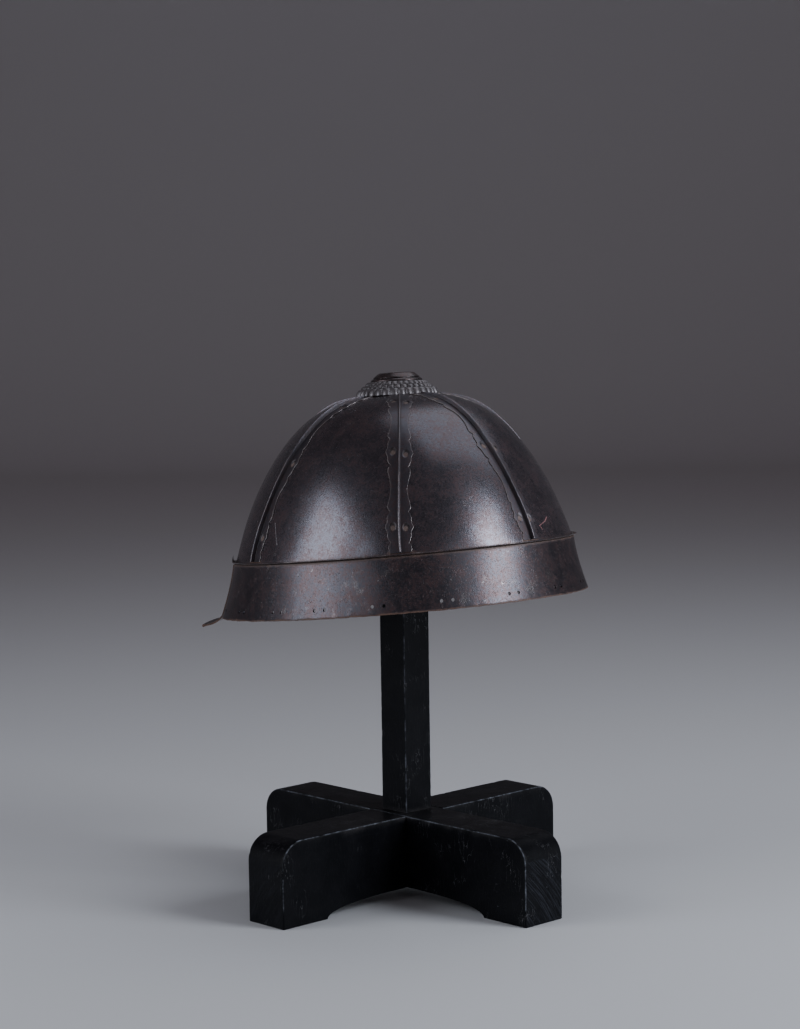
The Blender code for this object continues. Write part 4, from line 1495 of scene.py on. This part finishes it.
    def build_post(self, centre: Vector, helmet: Matrix, finish: Material) -> None:
        """The post: a rounded square carried up to the inside of the bowl, whose shape its top follows.

        Its top's height is found in a few rounds, each moved by what is missing to the clearance.
        """
        half = self.post_side / 2
        corners = [(x * half, y * half, self.post_arris) for x, y in ((-1, -1), (1, -1), (1, 1), (-1, 1))]
        section = rounded_outline(corners, 0.0010)
        low = self.height + GAP
        inside = helmet.inverted() @ Matrix.Translation(centre)
        level = np.full(len(section), self.post_top_guess)
        for _ in range(3):
            at = carried(np.column_stack((section, level)), inside)
            reach = np.hypot(at[:, 0] - self.dome.shift_rear, at[:, 1] - self.dome.shift_right)
            pole = self.dome.point(np.array(0.0), np.array(math.pi / 2))[2]
            level = level + (pole - self.dome.fall(reach) - self.post_clearance) - at[:, 2]
        share = spaced(0.0, 1.0, self.spacing * 1.5 / 0.26)[:, None]
        height = low + (level[None, :] - low) * share
        points = np.stack(np.broadcast_arrays(section[None, :, 0], section[None, :, 1], height), -1)
        corner = np.sum(np.abs(np.abs(section) - half), axis=1)
        near = np.exp(-((corner / (1.2 * self.post_arris)) ** 2))[None, :]
        nick = np.clip(self.uneven.at(points + 1.7, 0.0040, 2) - 0.25, 0.0, 1.0)
        points[..., :2] *= (1.0 - nick * self.post_nick_depth * near / half)[..., None]
        wavy = self.post_wave_depth * self.uneven.at(points, 0.060)
        points[..., :2] *= (1.0 + wavy / half)[..., None]
        layers = {"edge": 0.95 * near, "dust": smooth_step(low + 0.0035, low, height) * 0.9, "sawn": 0.0}
        grid = carried(points, Matrix.Translation(centre))
        mesh = swept_mesh("post_painted", grid, False, Cap.FACE, layers)
        finished_piece("post_painted", mesh, finish, ["post"], 30.0)

    def build(self, helmet: Matrix) -> None:
        """Makes the beams and the post, each with paint whose grain runs along it."""
        centre = post_axis()
        far = Vector((0.0, 0.0, -0.05))
        rows = (("beam_x", False, (60.0, 900.0, 900.0)), ("beam_y", True, (900.0, 60.0, 900.0)))
        for name, turned, grain in rows:
            aside = Vector((0.09, self.length / 2, 0.0)) if turned else Vector((self.length / 2, 0.09, 0.0))
            saw = centre + aside + far
            # The saw's marks were left on the ends of beam y, and mostly planed off those of beam x
            share = 1.0 if turned else 0.3
            paint = BlackPaintedWood(f"{name}_paint", grain, saw_centre=tuple(saw), saw_share=share)
            self.build_beam(name, turned, centre, paint.material())
        paint = BlackPaintedWood("post_paint", (900.0, 900.0, 45.0), bare=(0.13, 0.14, 0.17))
        self.build_post(centre, helmet, paint.material())


@dataclass(frozen=True)
class SoftBox:
    """A rectangular soft light aimed at the helmet.

    Its bearing is measured from the camera's side of the object, towards the picture's right. It and
    the elevation are in degrees.
    """

    name: str
    bearing: float
    elevation: float
    width: float
    height: float
    power: float
    distance: float = 1.35
    colour: Colour = (0.87, 0.92, 1.0)


@dataclass(frozen=True)
class Studio:
    """A pale floor with a curved backdrop, soft lights and the camera."""

    view_heading: float = math.radians(136.46)
    view_down: float = math.radians(6.04)
    view_roll: float = math.radians(-0.84)
    view_distance: float = 1.6432
    view_height: float = 0.4177
    view_aside: float = -0.0017
    focal_pixels: float = 2600.0
    picture_height: float = 1029.0
    sensor: float = 36.0
    floor_colour: Colour = (0.62, 0.63, 0.65)
    floor_roughness: float = 0.75
    world_colour: Colour = (0.78, 0.59, 0.64)
    world_strength: float = 0.092
    backdrop_distance: float = 3.0
    backdrop_bend: float = 1.2
    backdrop_height: float = 4.0
    stage_reach: float = 4.5
    aim: Place = (0.0, 0.0, 0.24)
    boxes: tuple[SoftBox, ...] = (
        SoftBox("left_box", -71, 14.5, 0.70, 1.10, 8.7),
        SoftBox("left_fill", -44, 14, 0.50, 0.95, 1.9),
        SoftBox("right_box", 62.5, 15.5, 0.52, 1.10, 18.0),
        SoftBox("right_fill", 33, 14, 0.36, 0.90, 0.7),
        SoftBox("top_box", 126, 66, 1.10, 1.10, 4.2, distance=1.25),
    )

    def build_camera(self) -> None:
        """The camera at the photograph's angle, looking down by a few degrees and rolled a little."""
        down, roll = self.view_down, self.view_roll
        right = Vector((1, 0, 0))
        up = Vector((0, math.sin(down), math.cos(down)))
        back = Vector((0, -math.cos(down), math.sin(down)))
        rolled_right = math.cos(roll) * right + math.sin(roll) * up
        rolled_up = math.cos(roll) * up - math.sin(roll) * right
        axes = Matrix((rolled_right, rolled_up, back)).transposed()
        turn = Matrix.Rotation(self.view_heading, 3, "Z")
        data = bpy.data.cameras.new("camera")
        data.sensor_fit = "AUTO"
        data.sensor_width = self.sensor
        data.lens = self.focal_pixels / self.picture_height * self.sensor
        data.clip_start = 0.01
        camera = placed("camera", data)
        camera.matrix_world = (turn @ axes).to_4x4()
        eye = Vector((self.view_aside, -self.view_distance, self.view_height))
        camera.location = post_axis() + turn @ eye
        bpy.context.scene.camera = camera

    def direction(self, bearing: float, elevation: float) -> Vector:
        """A direction from the object, by bearing from the camera's side and elevation."""
        turn = Matrix.Rotation(self.view_heading, 3, "Z")
        level = Vector((math.sin(bearing), -math.cos(bearing), 0.0)) * math.cos(elevation)
        return turn @ (level + Vector((0.0, 0.0, math.sin(elevation))))

    def build_lights(self) -> None:
        """The soft boxes, and a dim even world."""
        aim = post_axis() + Vector(self.aim)
        for box in self.boxes:
            data = bpy.data.lights.new(box.name, "AREA")
            data.shape = "RECTANGLE"
            data.size, data.size_y = box.width, box.height
            data.energy = box.power
            data.color = box.colour
            light = placed(box.name, data)
            away = self.direction(math.radians(box.bearing), math.radians(box.elevation))
            light.matrix_world = away.to_track_quat("Z", "Y").to_matrix().to_4x4()
            light.location = aim + away * box.distance
        world = bpy.data.worlds.new("studio")
        world.use_nodes = True
        background = world.node_tree.nodes["Background"]
        background.inputs["Color"].default_value = (*self.world_colour, 1.0)
        background.inputs["Strength"].default_value = self.world_strength
        bpy.context.scene.world = world

    def build_stage(self) -> None:
        """The floor, which bends up into a backdrop behind the object as the camera sees it."""
        bend = np.linspace(0.0, math.pi / 2, 24)
        start, radius = self.backdrop_distance, self.backdrop_bend
        depth = np.concatenate(([-self.stage_reach, 0.0], start + radius * np.sin(bend), [start + radius]))
        height = np.concatenate(([0.0, 0.0], radius * (1 - np.cos(bend)), [self.backdrop_height]))
        side = np.array((-self.stage_reach, self.stage_reach))[:, None]
        across, deep, high = np.broadcast_arrays(side, depth[None, :], height[None, :])
        turn = Matrix.Rotation(self.view_heading, 4, "Z")
        points = carried(np.stack((across, deep, high), -1), Matrix.Translation(post_axis()) @ turn)
        columns = points.shape[1]
        i = np.arange(columns - 1)
        faces = np.stack((i, i + columns, i + columns + 1, i + 1), -1)
        mesh = bpy.data.meshes.new("floor")
        mesh.from_pydata(points.reshape(-1, 3).tolist(), [], faces.tolist())
        mesh.shade_smooth()
        recipe = Recipe("pale_floor")
        colour = (*self.floor_colour, 1.0)
        mesh.materials.append(recipe.finish(base_color=colour, roughness=self.floor_roughness))
        floor = placed("floor", mesh)

    def build(self) -> None:
        """Makes the camera, the lights and the stage."""
        self.build_camera()
        self.build_lights()
        self.build_stage()


def main() -> None:
    """Builds the helmet, the stand and the studio."""
    logging.basicConfig(level=logging.INFO, format="%(message)s")
    helmet = HelmetPose().matrix()
    plate_iron = ForgedIron("plate_iron", scratches=Bowl().scratch_strokes(helmet)).material()
    rib_iron = ForgedIron("rib_iron", streaks=0.2, clouds=0.3, roughness=0.34).material()
    band_iron = ForgedIron(
        "band_iron",
        patina=(0.077, 0.077, 0.091),
        roughness=0.32,
        pit_size=0.0010,
        pit_share=0.9,
        clouds=1.2,
        speckled=0.9,
    ).material()
    # A darker copy of the iron for the visor: painted shade on the brim
    visor_iron = ForgedIron(
        "visor_iron",
        patina=(0.060, 0.057, 0.062),
        pit_share=0.5,
        roughness=0.34,
    ).material()
    crown_iron = ForgedIron(
        "crown_iron",
        patina=(0.088, 0.082, 0.088),
        roughness=0.25,
        streaks=0.0,
        pit_share=0.1,
    ).material()
    # A lighter, rougher and less metallic copy of the iron for the petals: painted light where they catch
    # the light from above
    petal_iron = ForgedIron(
        "petal_iron",
        patina=(0.175, 0.168, 0.178),
        roughness=0.40,
        metal=0.80,
        russet_share=0.2,
        streaks=0.0,
        pit_share=0.1,
    ).material()
    Bowl().build(helmet, plate_iron, rib_iron)
    Band().build(helmet, band_iron)
    Visor().build(helmet, visor_iron)
    Crown().build(helmet, petal_iron, crown_iron)
    Stand().build(helmet)
    Studio().build()


if __name__ == "__main__":
    main()
